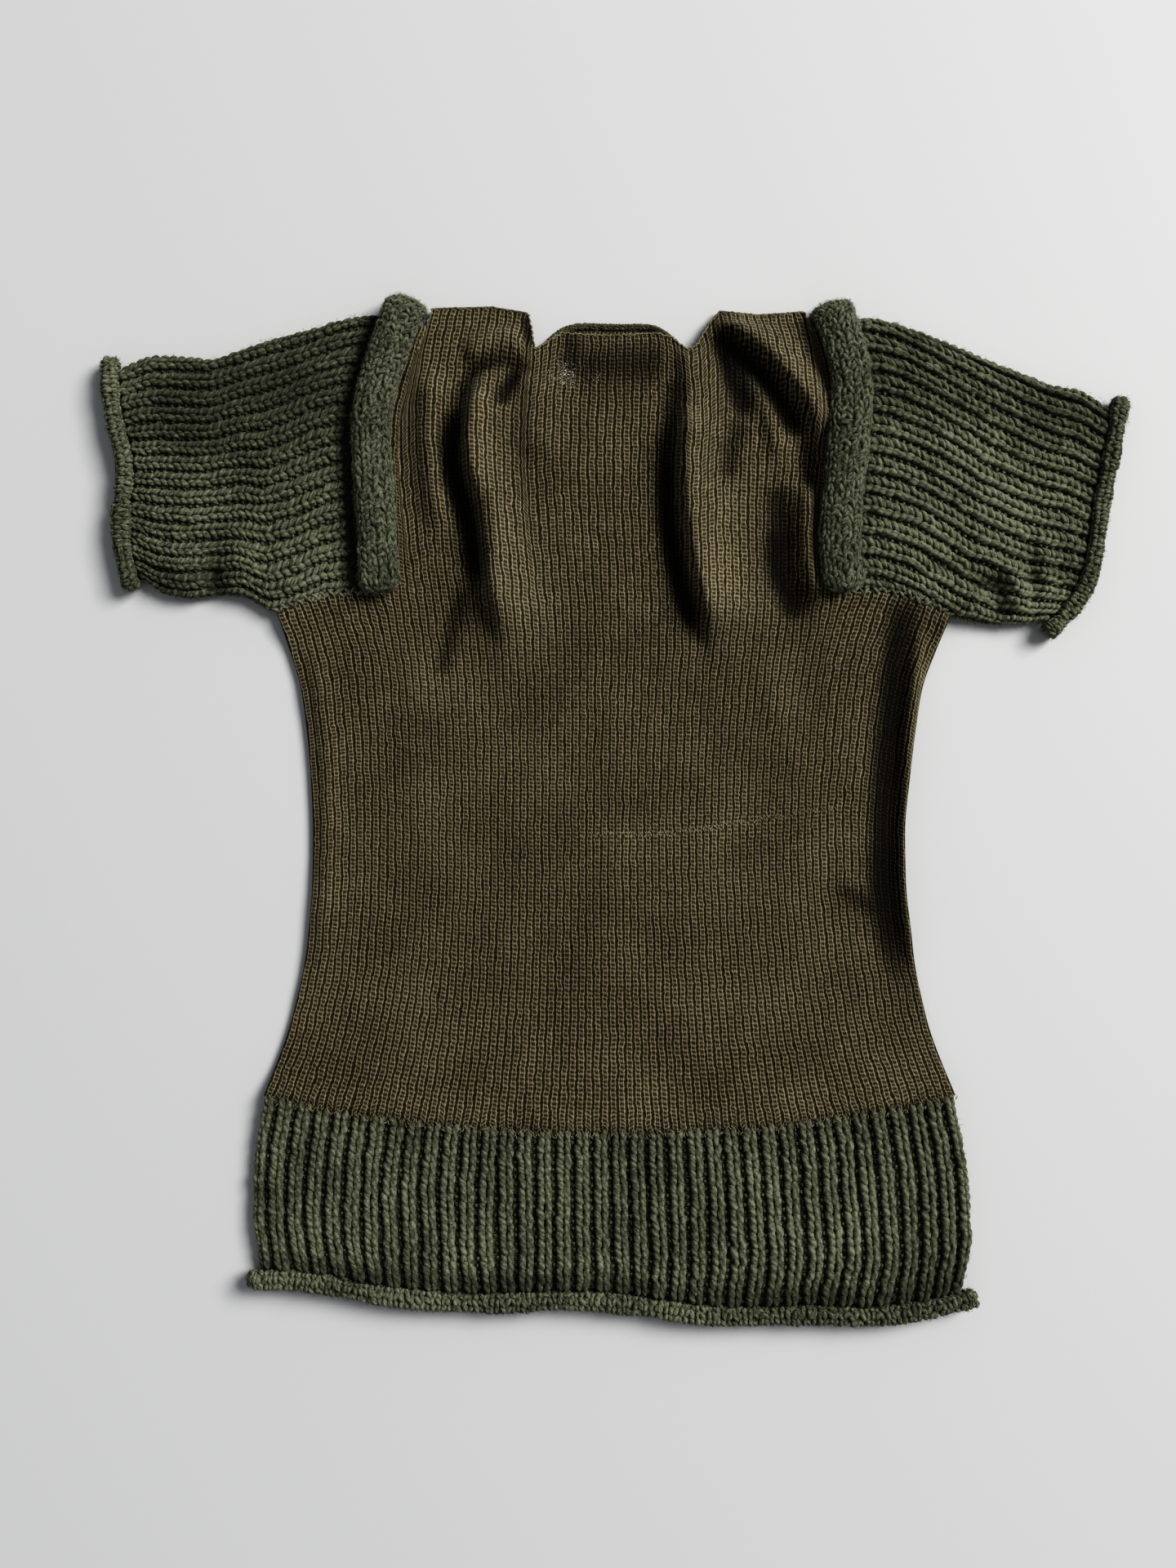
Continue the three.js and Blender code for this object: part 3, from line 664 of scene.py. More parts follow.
def fine_knit(name):
    """Ladder-like fine rib. The knit map counts ribs across and courses along."""
    knit = Finish(name, roughness=0.85, sheen=0.25)
    sway, drift = (knit.noise(420, 1.0) - 0.5) * 0.26, (knit.noise(90, 1.0) - 0.5) * 0.50
    across = (knit.map_x + (sway + drift)).math("FRACT")

    def line_at(middle, width):
        """1 on a line along the rib, falling off to 0 at a width from it."""
        near = (across - middle).math("ABSOLUTE") / width * -1.0 + 1.0
        return near.most(0.0).math("SMOOTH_MIN", 0.75, 0.3)

    rails = line_at(RAILS[0], RAIL_WIDTH).most(line_at(RAILS[1], RAIL_WIDTH))
    wave = (knit.map_y + knit.noise(300, 1.0) * 0.7 + across * RUNG_SLANT).wave("COSINE")
    beads = rails * (wave * 0.24 + 0.80)
    filling = line_at(0.50, 0.55) * (wave * 0.50 + 0.32)
    ties = (line_at(0.50, 0.60) * -1.0 + 1.0) * (wave * 0.36 + 0.10)
    height = beads.most(filling).most(ties)
    fibre, spot, patch = knit.noise(1500, 2.0, 0.6), knit.noise(480, 1.0), knit.noise(22)
    # the knit's own pattern and painted shade: the colour darkens where the knit is low, in its holes and
    # gaps, and with the painted shade attribute
    shade = height * 0.95 + fibre * 0.14 + (patch - 0.5) * 0.22 + (spot - 0.5) * 0.26 - knit.depth() * 0.42
    worn = 0.0
    for (x, y), reach, most in WORN_PLACES:
        near = knit.distance((x * MM, y * MM, WORN_LEVEL * MM)) / (reach * MM) * -1.0 + 1.0
        worn = (near * most).most(worn)
    holes = height.math("LESS_THAN", GAP_LEVEL) * (knit.noise(900, 0.0) + worn).math("GREATER_THAN", 1.0)
    # painted light: worn holes take a pale colour in place of the lit table seen through them
    painted_light_holes = holes * worn.math("GREATER_THAN", 0.01)
    return knit.finish(knit.mixed(painted_light_holes, knit.ramp(shade, *OLIVE_STOPS), HOLE_PAINTED_LIGHT), height, 0.7)


OLIVE = fine_knit("fine_olive_knit")
print("finishes:", [m.name for m in bpy.data.materials])

# %% [markdown]
# ## The hem band
#
# The band is a tube of heavy 1x1 rib, pressed flat: each rib is one column of V stitches and each gap is a
# column of purl bumps, sunk out of sight. A ring of points goes round the flattened tube at every row, over
# the front, round the folded side and back under, so that one knit covers it all.

# %% The flattened tube as a form
TUBE_HIGH = (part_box("hem_band")[1].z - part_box("hem_band")[0].z) / MM
FOLD_RADIUS = TUBE_HIGH / 2


def flat_tube(plan, round_points, bulge):
    """A tube pressed flat: plan is a grid whose rows run from fold to fold. Its ring starts at one fold,
    goes over the front, round the other fold and back under. bulge says how much higher the front is."""
    bend = math.pi * FOLD_RADIUS
    rings = []
    for line in plan:
        run = length_of(line) - 2 * FOLD_RADIUS
        share = np.arange(round_points) / round_points
        gone = (share * 2 * (run + bend) + bend / 2) % (2 * (run + bend))
        first_turn = np.clip(gone / FOLD_RADIUS, 0, math.pi)
        second_turn = np.clip((gone - bend - run) / FOLD_RADIUS, 0, math.pi)
        inward = FOLD_RADIUS * (1 - np.sin(first_turn) + np.sin(second_turn))
        inward += np.clip(gone - bend, 0, run) - np.clip(gone - 2 * bend - run, 0, run)
        height = -np.cos(first_turn + second_turn)
        marks = np.concatenate([[0], np.cumsum(np.linalg.norm(np.diff(line, axis=0), axis=1))])
        places = np.stack([np.interp(inward, marks, line[:, k]) for k in range(2)], axis=1)
        rings.append(np.c_[places, FOLD_RADIUS * (1 + height) + bulge(places) * soft(np.clip(height, 0, 1))])
    return Form(np.array(rings))


def rim_between(node, start, end, count, smooth=6):
    """The rim from one corner to another the short way round, evenly spaced, in plan."""
    there, back = between(node, start, end), between(node, end, start)[::-1]
    line = there if length_of(there) < length_of(back) else back
    return evenly(line[:, :2], count, smooth)


top_left, top_right, low_left, low_right = (corner("hem_band", toward) for toward in (
    (-1, 1), (1, 1), (-1, -1), (1, -1)))
ACROSS, ALONG = 240, 40
band_foot = rim_between("hem_band", low_left, low_right, ACROSS)
band_seam = rim_between("hem_band", top_left, top_right, ACROSS)
band_left = rim_between("hem_band", low_left, top_left, ALONG)
band_right = rim_between("hem_band", low_right, top_right, ALONG)


def band_swell(places):
    """The band doesn't lie quite flat: it swells by a millimetre or so here and there."""
    return 0.9 * cloudy(7, places[:, 0] + 400, places[:, 1] + 400, 46)


band_form = flat_tube(panel(band_foot, band_seam, band_left, band_right), 900, band_swell)
print("hem seam", round(length_of(band_seam)), "mm, foot", round(length_of(band_foot)), "mm")

# %% Knitting the band: a sunk ground, V legs on the ribs and purl bumps in the gaps
BAND_RIBS = 76  # all round; half of them show in front
BAND_ROWS = 22
band_round = length_of(band_seam) + length_of(band_foot) + (math.pi - 2) * 2 * FOLD_RADIUS
BAND_GAUGE = band_round / BAND_RIBS, length_of(band_left) / BAND_ROWS
GROUND_WALL, GROUND_RIB, GROUND_PER_RIB = 1.2, 0.55, 4
BUMP = {"thick": 1.5, "sunk": 0.8, "jitter": 0.3}
BUMP_LENGTH, BUMP_RISE = 3.2, 0.4  # a purl bump's length, and how far it stands out of the gap's bottom
print("band gauge", [round(size, 2) for size in BAND_GAUGE])


def sunk_ground(name, form, ribs, rows, gap_depth):
    """The knit's ground, a thin ribbed wall that lies under the yarn."""
    columns = ribs * GROUND_PER_RIB
    across, along = np.meshgrid(np.arange(columns) / columns, np.linspace(0, 1, rows + 1))
    depth = -gap_depth + GROUND_RIB * np.cos(2 * math.pi * (across * ribs - 0.5))
    outer, inner = form.lay(across, along, depth), form.lay(across, along, depth - GROUND_WALL)
    # painted shade: the ground is painted as dark as the depth of the gaps it lies in
    return cloth(name, outer, inner, (1 / GROUND_PER_RIB, 1.0), closed=True, painted_shade=gap_depth)


def ribbed_tube(node, form, counts, gauge, leg, gap_depth, seed, painted_shade_at):
    """A heavy rib knit round a flattened tube: its ground and its yarn. leg holds a leg's sizes, and
    painted_shade_at says how much more painted shade than flat knit a place gets. The back has simpler legs
    and no bumps."""
    ribs, rows = counts
    batches = []
    for low, high, rings, sides in ((-1, ribs // 2 + 1, 5, 6), (ribs // 2 + 1, ribs - 1, 3, 4)):
        rib, side, row = every(range(low, high), range(rows))
        wobble = 0.9 * cloudy(seed, rib * 13.0, row * gauge[1], 30)
        wobble += 0.4 * cloudy(seed + 1, rib * 40.0, row * 9, 9)
        legs = v_legs(rib, side, wobble=wobble, rings=rings, sides=sides, seed=seed + low, stray=0.12, **leg)
        batches.append(knit(form, counts, gauge, rib, row, legs))
    rib, row = (part.ravel() for part in np.meshgrid(np.arange(ribs // 2), np.arange(rows), indexing="ij"))
    flat = 0.0 * rib
    bumps = rods((flat + gauge[0] / 2, flat), (flat + BUMP_LENGTH, flat), lift=BUMP_RISE - gap_depth,
                 rings=3, sides=4, seed=seed + 2, **BUMP)
    batches.append(knit(form, counts, gauge, rib, row, bumps))
    batches = [(laid, start, length, depth + painted_shade_at(laid[..., :2].reshape(-1, 2)).reshape(depth.shape))
               for laid, start, length, depth in batches]
    ground = sunk_ground(node + "_knit", form, ribs, rows, gap_depth)
    yarn = yarn_piece(node + "_knit_yarn", batches)
    dress(ground, HEATHER, node)
    dress(yarn, HEATHER)
    return ground, yarn


BAND_LEG = {"lean": (1.3, 2.8), "length": 7.6, "thick": 2.3, "sunk": 1.0, "lift": -1.9, "plump": 0.45}
BAND_GAP_DEPTH = 3.6
FOOT_SHADE, FOOT_MIDDLE, FOOT_REACH = 3.0, 4, 6  # how deep the painted shade over the rolled hem is, and where


def above_roll(places):
    """The last rows before the rolled hem are painted darker: painted shade next to the roll."""
    foot = np.interp(places[:, 0], band_foot[:, 0], band_foot[:, 1])
    return FOOT_SHADE * np.exp(-((places[:, 1] - foot - FOOT_MIDDLE) / FOOT_REACH) ** 2)


hem_band, hem_band_yarn = ribbed_tube("hem_band", band_form, (BAND_RIBS, BAND_ROWS), BAND_GAUGE, BAND_LEG,
                                      BAND_GAP_DEPTH, 11, above_roll)

# %% [markdown]
# ## Rolled edges
#
# Plain knitting curls up at its edge. The band's last rows curl into a thick roll, and so do the sleeves'
# cuffs. A roll is a tube round a line. That line comes from the CAD roll: the middle between the two sides
# of its top run. The tube runs over the front, bends down at the end and comes back under the garment.

# %% The line in the middle of a roll, and a tube round a path
RIM_SHARE = math.tan(math.pi / 8)  # an eight-sided CAD rod's rim is this share of its half height up
LEVEL_SPREAD = 0.5  # the rim of its top run keeps within this of one height


def middle_line(node, count):
    """The plan line along a CAD roll's flat top run, its half width, half height and middle height."""
    rim = rims[node]
    level = float(np.median(rim[:, 2]))
    on_top = np.abs(rim[:, 2] - level) < LEVEL_SPREAD
    start = int(np.argmin(on_top))
    order = (start + np.arange(len(rim))) % len(rim)
    arcs, arc = [], []
    for k in order:
        if on_top[k]:
            arc.append(k)
        elif arc:
            arcs.append(arc)
            arc = []
    if arc:
        arcs.append(arc)
    arcs.sort(key=len)
    one = evenly(rim[arcs[-1]][:, :2], count, 8)
    other = evenly(rim[arcs[-2]][::-1][:, :2], count, 8)
    half_width = np.linalg.norm(one - other, axis=1).mean() / 2
    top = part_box(node)[1].z / MM
    half_height = (top - level) / (1 - RIM_SHARE)
    return (one + other) / 2, half_width, half_height, top - half_height


def sideways(line):
    """The direction on the right of a plan line at each of its points, as a level direction in space."""
    ahead = unit(np.gradient(line, axis=0))
    return np.stack([ahead[:, 1], -ahead[:, 0], np.zeros(len(line))], axis=1)


def at_height(line, height):
    return np.c_[line, np.full(len(line), height)]


def bend_down(spot, out, radius, high, turn):
    """Points round a bend that leaves a plan spot at a height, and turns down and back."""
    return np.c_[spot + np.outer(np.sin(turn), out) * radius, high - radius * (1 - np.cos(turn))]


def round_path(line, high, low, steps=10):
    """A closed path over the front along a plan line, round its end, and back under it."""
    side, radius = sideways(line), (high - low) / 2
    turn = np.arange(1, steps + 1) / (steps + 1) * math.pi
    there = bend_down(line[-1], unit(line[-1] - line[-2]), radius, high, turn)
    back = bend_down(line[0], unit(line[0] - line[1]), radius, high, math.pi - turn)
    places = [at_height(line, high), there, at_height(line[::-1], low), back]
    sides = [side, np.repeat(side[-1:], steps, axis=0), side[::-1], np.repeat(side[:1], steps, axis=0)]
    return np.concatenate(places), np.concatenate(sides)


def tube(path, side, half_width, half_height, around, start, closed_path=False):
    """Points round a path: an array (path, around, 3). They start on the path's right at angle 0."""
    if closed_path:
        ahead = np.roll(path, -1, axis=0) - np.roll(path, 1, axis=0)
    else:
        ahead = np.gradient(path, axis=0)
    up = np.cross(side, unit(ahead))
    turn = start + np.linspace(0, 2 * math.pi, around)
    wide = np.asarray(half_width).reshape(-1, 1, 1) * np.cos(turn)[None, :, None]
    tall = np.asarray(half_height).reshape(-1, 1, 1) * np.sin(turn)[None, :, None]
    return path[:, None] + side[:, None] * wide + up[:, None] * tall


# %% Knitting a rolled edge: its wales go round the roll
AROUND = 49  # points round a roll, its first one twice
EDGE_LUMP, EDGE_LUMPS = 0.8, 50  # how thick a roll's lumps are, and how many it has
UNDER_START = -0.9 * math.pi  # a rolled edge's knit starts on its underside


def blunt(share, reach, least):
    """How wide a roll is at a share from its end, where it rounds off over a reach."""
    return np.sqrt(np.clip(1 - np.clip(1 - share / reach, 0, 1) ** 2, least, 1))


def core_of(form, rows, columns, depth):
    """The ground inside a roll: rings of points that lie a depth under its form."""
    across, along = np.meshgrid(np.linspace(0, 1, columns + 1)[:-1], np.linspace(0, 1, rows))
    return form.lay(across, along, np.full((rows, columns), -depth))


def rolled_edge(node, run_points, stitch, leg, seed, stray=0.35, proud=-0.2):
    """A rolled edge of heavy wool. proud is how far it stands out sideways past the CAD roll."""
    line, half_width, half_height, middle = middle_line(node, run_points)
    path, side = round_path(line, middle, half_height)
    lump = EDGE_LUMP * wavy(seed, np.arange(len(path)) / len(path), EDGE_LUMPS)[:, None]
    rings = tube(path, side, half_width + proud + lump, half_height - 0.1 + lump * 0.5, AROUND, UNDER_START,
                 closed_path=True)
    form = Form(rings.transpose(1, 0, 2), cores=path[None])
    total = length_of(np.r_[path, path[:1]])
    ribs, rows = int(round(total / stitch)), 6
    gauge = total / ribs, length_of(rings[0]) / rows
    rib, leg_side, row = every(range(ribs), range(rows))
    legs = v_legs(rib, leg_side, rings=4, sides=5, seed=seed, jitter=0.1 + stray, plump=0.5, stray=stray,
                  **leg)
    core = core_of(form, 13, 2 * ribs, leg["thick"] * 1.1)
    piece = yarn_piece(node + "_knit", [knit(form, (ribs, rows), gauge, rib, row, legs)], core)
    dress(piece, HEATHER, node)
    return piece, form


EDGE_LEG = {"lean": (0.8, 2.3), "length": 7.0, "thick": 1.75, "sunk": 0.9, "lift": -1.1}
CUFF_LEG = {"lean": (0.5, 2.0), "length": 6.4, "thick": 1.6, "sunk": 0.9, "lift": -1.0}
hem_roll, hem_roll_form = rolled_edge("hem_roll", 160, 6.2, EDGE_LEG, 21)
cuff_left, cuff_left_form = rolled_edge("cuff_roll_left", 60, 5.0, CUFF_LEG, 22, 0.22, 1.1)
cuff_right, cuff_right_form = rolled_edge("cuff_roll_right", 60, 5.0, CUFF_LEG, 23, 0.22, 0.6)

# %% [markdown]
# ## The sleeves
#
# Each short sleeve is heavy wool again, pressed flat, with its ribs along the arm. The plan comes from four
# lines of the CAD sleeve: the armhole, the cuff and the two folds. Soft bulges stand up where the wool is
# bunched near the cuff and the underarm.

# %% Sleeves
SLEEVE_RIBS = {"sleeve_left": 30, "sleeve_right": 28}  # all round; half of them show in front
SLEEVE_TWIST = {"sleeve_left": 0.012, "sleeve_right": 0.045}  # how far round the cuff has turned, as a share
SLEEVE_ROWS = 34
SLEEVE_LEG = {"length": 7.2, "sunk": 1.1, "lift": -1.8, "plump": 0.55}
SLEEVE_LEAN, SLEEVE_THICK = (0.04, 0.35), 0.192  # a leg's lean and thickness, as shares of a rib's width
SLEEVE_GAP_DEPTH = 3.2
SLEEVE_CORNERS = {
    "sleeve_left": {"arm_low": (1, -0.8), "arm_high": (1, 1), "cuff_high": (-1, 1), "cuff_low": (-1, -1)},
    "sleeve_right": {"arm_low": (-1, -0.8), "arm_high": (-1, 1), "cuff_high": (1, 1), "cuff_low": (0.6, -1)},
}
SLEEVE_SWELLS = [  # middle, reach along x and y, and height: bunched wool, and the creases beside it
    ((-264, 148), (17, 12), 8.0), ((-229, 150), (10, 17), 6.5), ((-245, 142), (5, 12), -6.0),
    ((-222, 215), (34, 40), 2.0), ((-262, 190), (10, 60), 1.5), ((-252, 166), (16, 4), -2.0),
    ((218, 128), (10, 8), 6.0), ((199, 148), (14, 4), -4.0), ((228, 153), (10, 5), 4.5),
    ((243, 142), (6, 8), 5.5), ((247, 127), (6, 9), 5.0), ((229, 139), (9, 5), -6.0),
    ((235, 126), (3.5, 9), -5.0), ((263, 140), (9, 20), 4.0), ((255, 146), (3.5, 16), -4.0),
    ((272, 150), (4, 20), -2.0),
    ((226, 215), (34, 40), 2.0), ((190, 240), (20, 30), 1.5),
]
ROLL_GROOVES = {  # a line down the sleeve beside its shoulder roll, and how deep the knit dips there; the dip is also painted in shade
    "sleeve_left": ([(-144, 306), (-152, 280), (-160, 250), (-163, 215), (-160, 180), (-159, 140)], 3.5),
    "sleeve_right": ([(157, 290), (159, 250), (153, 200), (152, 150)], 0.8),
}
SLEEVE_SHADES = [((-215, 264), (62, 30), 3.6), ((-250, 225), (60, 30), 0.8), ((226, 164), (60, 48), -2.8),
                 ((215, 245), (60, 16), 1.2)]  # painted shade, and painted light where below 0, in broad patches of the sleeves
GROOVE_REACH = 6.0
GROOVE_SHADE, CREASE_SHADE = 1.6, 0.45  # millimetres of painted shade for each millimetre of depth


def heap(places, spot, reach):
    """1 at a spot, falling off to 0 around it. reach is along x and y."""
    return np.exp(-(((places - spot) / reach) ** 2).sum(axis=-1))


def dip(node, places):
    """How far each place lies in the groove beside the shoulder roll, in millimetres."""
    line, depth = ROLL_GROOVES[node]
    gap = np.full(len(places), np.inf)
    for spot in evenly(np.array(line, float), 60):
        gap = np.minimum(gap, np.linalg.norm(places - spot, axis=1))
    return depth * np.exp(-(gap / GROOVE_REACH) ** 2)


def sleeve_rise(node, places):
    swells = sum(height * heap(places, spot, reach) for spot, reach, height in SLEEVE_SWELLS)
    return swells - dip(node, places)


# painted shade on the sleeves: in the groove by the roll, in the creases, and in broad painted patches
def sleeve_shade(node, places):
    creases = sum(-height * heap(places, spot, reach) for spot, reach, height in SLEEVE_SWELLS if height < 0)
    wool = sum(darker * heap(places, spot, reach) for spot, reach, darker in SLEEVE_SHADES)
    return GROOVE_SHADE * dip(node, places) + CREASE_SHADE * creases + wool


def sleeve(node, seed):
    at = {name: corner(node, toward) for name, toward in SLEEVE_CORNERS[node].items()}
    cuff = rim_between(node, at["cuff_high"], at["cuff_low"], 120)
    arm = rim_between(node, at["arm_high"], at["arm_low"], 120)
    high = rim_between(node, at["cuff_high"], at["arm_high"], 80)
    low = rim_between(node, at["cuff_low"], at["arm_low"], 80, 4)
    form = flat_tube(panel(cuff, arm, high, low), 500, lambda places: sleeve_rise(node, places))
    form.twist, ribs = SLEEVE_TWIST[node], SLEEVE_RIBS[node]
    girth = length_of(cuff) + length_of(arm) + (math.pi - 2) * 2 * FOLD_RADIUS
    gauge = girth / ribs, (length_of(high) + length_of(low)) / 2 / SLEEVE_ROWS
    print(node, "gauge", [round(size, 2) for size in gauge])
    lean = tuple(share * gauge[0] for share in SLEEVE_LEAN)
    leg = SLEEVE_LEG | {"lean": lean, "thick": SLEEVE_THICK * gauge[0]}
    return *ribbed_tube(node, form, (ribs, SLEEVE_ROWS), gauge, leg, SLEEVE_GAP_DEPTH, seed,
                        lambda places: sleeve_shade(node, places)), form


sleeve_left, sleeve_left_yarn, sleeve_left_form = sleeve("sleeve_left", 31)
sleeve_right, sleeve_right_yarn, sleeve_right_form = sleeve("sleeve_right", 32)

# %% [markdown]
# ## The shoulder rolls
#
# A long strip of the heavy wool is rolled up and sewn on each armhole seam. Plain knitting shows on it, with
# its columns of V stitches along the roll. The upper end bends down over the shoulder.

# %% Shoulder rolls
ROLL_BEND = 7.4  # the radius at which the upper end bends down
ROLL_FOOT = 0.5  # how far over the CAD roll's underside it stops
ROLL_LUMP, ROLL_LUMPS = 0.5, 12
ROLL_RIBS, ROLL_ROW = 11, 3.7  # wales all round, and the height of a row
ROLL_LEG = {"lean": (0.2, 2.7), "length": 6.2, "thick": 1.45, "sunk": 0.8, "lift": -0.9, "plump": 0.5}


def shoulder_roll(node, seed):
    line, half_width, half_height, middle = middle_line(node, 90)
    if line[0][1] > line[-1][1]:
        line = line[::-1]
    out = unit(line[-1] - line[-3])
    bend = bend_down(line[-1], out, ROLL_BEND, middle, np.linspace(0, math.pi / 2, 13)[1:])
    levels = np.linspace(middle - ROLL_BEND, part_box(node)[0].z / MM + ROLL_FOOT, 6)[1:]
    drop = np.c_[np.repeat([line[-1] + out * ROLL_BEND], len(levels), axis=0), levels]
    path = np.concatenate([at_height(line, middle), bend, drop])
    side = sideways(line)
    side = np.concatenate([side, np.repeat(side[-1:], len(path) - len(line), axis=0)])
    share = np.linspace(0, 1, len(path))
    ends = blunt(share, 0.03, 0.12)
    lump = ROLL_LUMP * wavy(seed, share, ROLL_LUMPS)
    rings = tube(path, side, (half_width + lump) * ends, (half_height + 0.4 * lump) * ends, 73,
                 -math.pi / 2)[:, :-1]
    form = Form(rings, cores=path[:, None])
    rows = int(round(length_of(path) / ROLL_ROW))
    gauge = length_of(rings[40]) / ROLL_RIBS, length_of(path) / rows
    rib, leg_side, row = every(range(ROLL_RIBS), range(rows))
    legs = v_legs(rib, leg_side, rings=4, sides=5, seed=seed, jitter=0.45, stray=0.3, **ROLL_LEG)
    yarn = knit(form, (ROLL_RIBS, rows), gauge, rib, row, legs)
    piece = yarn_piece(node + "_knit", [yarn], core_of(form, 60, 36, 1.5))
    dress(piece, ROLL, node)
    return piece, form


roll_left, roll_left_form = shoulder_roll("shoulder_roll_left", 41)
roll_right, roll_right_form = shoulder_roll("shoulder_roll_right", 42)

# %% [markdown]
# ## The fine body
#
# The front is one fine machine knit with 80 ribs. Below the underarms all of them run up the body. Above,
# the middle 56 go on to the wide neck, where they are gathered into soft folds, and the outer ones end at
# the underarm seams. The grid of the panel follows the ribs, so ribs, folds and seams agree with each other.

# %% Folds of the front: a line along each, its height and its half width
REST_UNDER = 2.3  # the front's underside where it lies on the back
FINE_WALL = 1.8
SEAM_RISE, SEAM_REACH = 4.1, 13  # how far it climbs to the thicker knit at a seam, and over what width
SEAM_FADE = (1, 11)  # folds die out over these distances from a seam
CHEST_LOFT, CHEST_START, SIDE_FADE = 3.4, (40, 150), 24  # the chest lies looser: height, where, side margin
NECK_RISE, NECK_START, NECK_HALF = 2.4, (268, 282), 50  # the neck edge lies on the back's: height and place
TOP_END = (290, 306)  # folds die out between these places towards the shoulders
RIPPLES = [(5, 0.8, 34), (6, 0.35, 13)]  # seed, height and size of the waves between the folds
RIDGES = [  # the line, the height, and the reach to the west and to the east of it
    ([(-112, 268), (-113, 216), (-106, 172)], 8, 9, 7),
    ([(-78, 264), (-86, 247), (-89, 226), (-87, 208), (-78, 184), (-77, 160), (-73, 134), (-68, 104)],
     17, 6, 17),
    ([(-56, 288), (-75, 286), (-91, 276)], 7, 8, 7),
    ([(-49, 266), (-51, 238), (-49, 214)], 5, 8, 13),
    ([(63, 302), (73, 293), (86, 285), (101, 270), (113, 256), (121, 243), (125, 226)], 13, 5, 13),
    ([(80, 270), (88, 258), (95, 240), (100, 215)], 5, 5, 8),
    ([(43, 284), (45, 252), (44, 222)], 6, 6, 16),
    ([(44, 246), (42, 222), (43, 200), (45, 175), (49, 150), (55, 125), (60, 102)], 17, 5, 19),
    ([(117, 198), (117, 165), (118, 148), (125, 128)], 7, 6, 6),
    ([(187, 110), (180, 60), (177, 0), (176, -50), (183, -100)], 8, 6, 5),
    ([(-184, 100), (-177, 40), (-176, -30), (-181, -90)], 3, 6, 8),
    ([(134, -40), (147, -45), (161, -55)], 2.5, 5, 7),
    ([(-118, 92), (-124, 50), (-126, 0)], 2.0, 12, 12),
    ([(88, 92), (100, 60), (108, 20)], 2.0, 12, 12),
]
CREASES = [  # the line, the depth, the reach to the west and to the east, and how much painted shade its hollow gets
    ([(-97, 245), (-101, 222), (-99, 203), (-91, 182), (-87, 160), (-86, 138)], 9, 6, 6, 1.0),
    ([(-93, 136), (-97, 120), (-103, 100), (-108, 80)], 2, 5, 5, 0.4),
    ([(-79, 196), (-76, 175), (-76, 150)], 1, 3, 3, 0.3),
    ([(-53, 271), (-66, 274), (-80, 273), (-90, 266), (-97, 248)], 4, 3.5, 3.5, 0.55),
    ([(-60, 270), (-66, 258), (-71, 248)], 6, 4, 4, 0.9),
    ([(37, 264), (33, 242), (32, 212)], 2, 7, 5, 0.4),
    ([(32, 218), (31, 184), (36, 155), (43, 128), (52, 110)], 7, 6, 5, 1.0),
    ([(61, 292), (76, 279), (90, 266), (103, 248), (113, 230)], 8, 7, 5, 1.0),
    ([(116, 228), (119, 198)], 3, 5, 5, 0.5),
    ([(66, 284), (72, 262), (80, 241)], 7, 5, 5, 0.9),
    ([(76, 238), (71, 222), (68, 202)], 2, 5, 5, 0.4),
    ([(99, 198), (101, 172), (99, 160)], 3, 7, 7, 0.6),
    ([(100, 172), (99, 150), (105, 134), (115, 118)], 8, 7, 7, 1.0),
    ([(180, 130), (175, 112), (172, 96), (170, 71), (167, 36), (165, -4), (163, -44), (168, -79),
      (176, -104)], 4, 7.5, 7.5, 1.0),
    ([(-27, 290), (-27, 264)], 1, 5, 5, 0.5),
    # these two creases have no depth: they are painted shade alone, on the neck and by the notch's left edge
    ([(-22, 273), (32, 273)], 0, 12, 12, 0.5),
    ([(-55, 302), (-52, 284)], 0, 2.5, 2.5, 0.8),
    ([(136, -49), (148, -54), (162, -63)], 1.5, 4, 4, 0.35),
]


def softened(points, count=24):
    """A polyline through a few points, rounded by repeated corner cutting and spaced evenly."""
    line = np.array(points, float)
    for _ in range(3):
        quarter = 0.75 * line[:-1] + 0.25 * line[1:]
        three = 0.25 * line[:-1] + 0.75 * line[1:]
        line = np.concatenate([line[:1], np.stack([quarter, three], axis=1).reshape(-1, 2), line[-1:]])
    return evenly(line, count)


def near_line(line, places):
    """How far each place is from a line in plan, how far along it the nearest point is, and how far east."""
    best = np.full(len(places), np.inf)
    along, east = np.zeros(len(places)), np.zeros(len(places))
    for k in range(len(line) - 1):
        step = line[k + 1] - line[k]
        share = np.clip(((places - line[k]) @ step) / (step @ step), 0, 1)
        offset = places - line[k] - share[:, None] * step
        away = np.linalg.norm(offset, axis=1)
        closer = away < best
        best[closer] = away[closer]
        east[closer] = offset[closer, 0]
        along[closer] = (k + share[closer]) / (len(line) - 1)
    return best, along, east


def smoothstep(value, low, high):
    return soft(np.clip((np.asarray(value, float) - low) / (high - low), 0, 1))


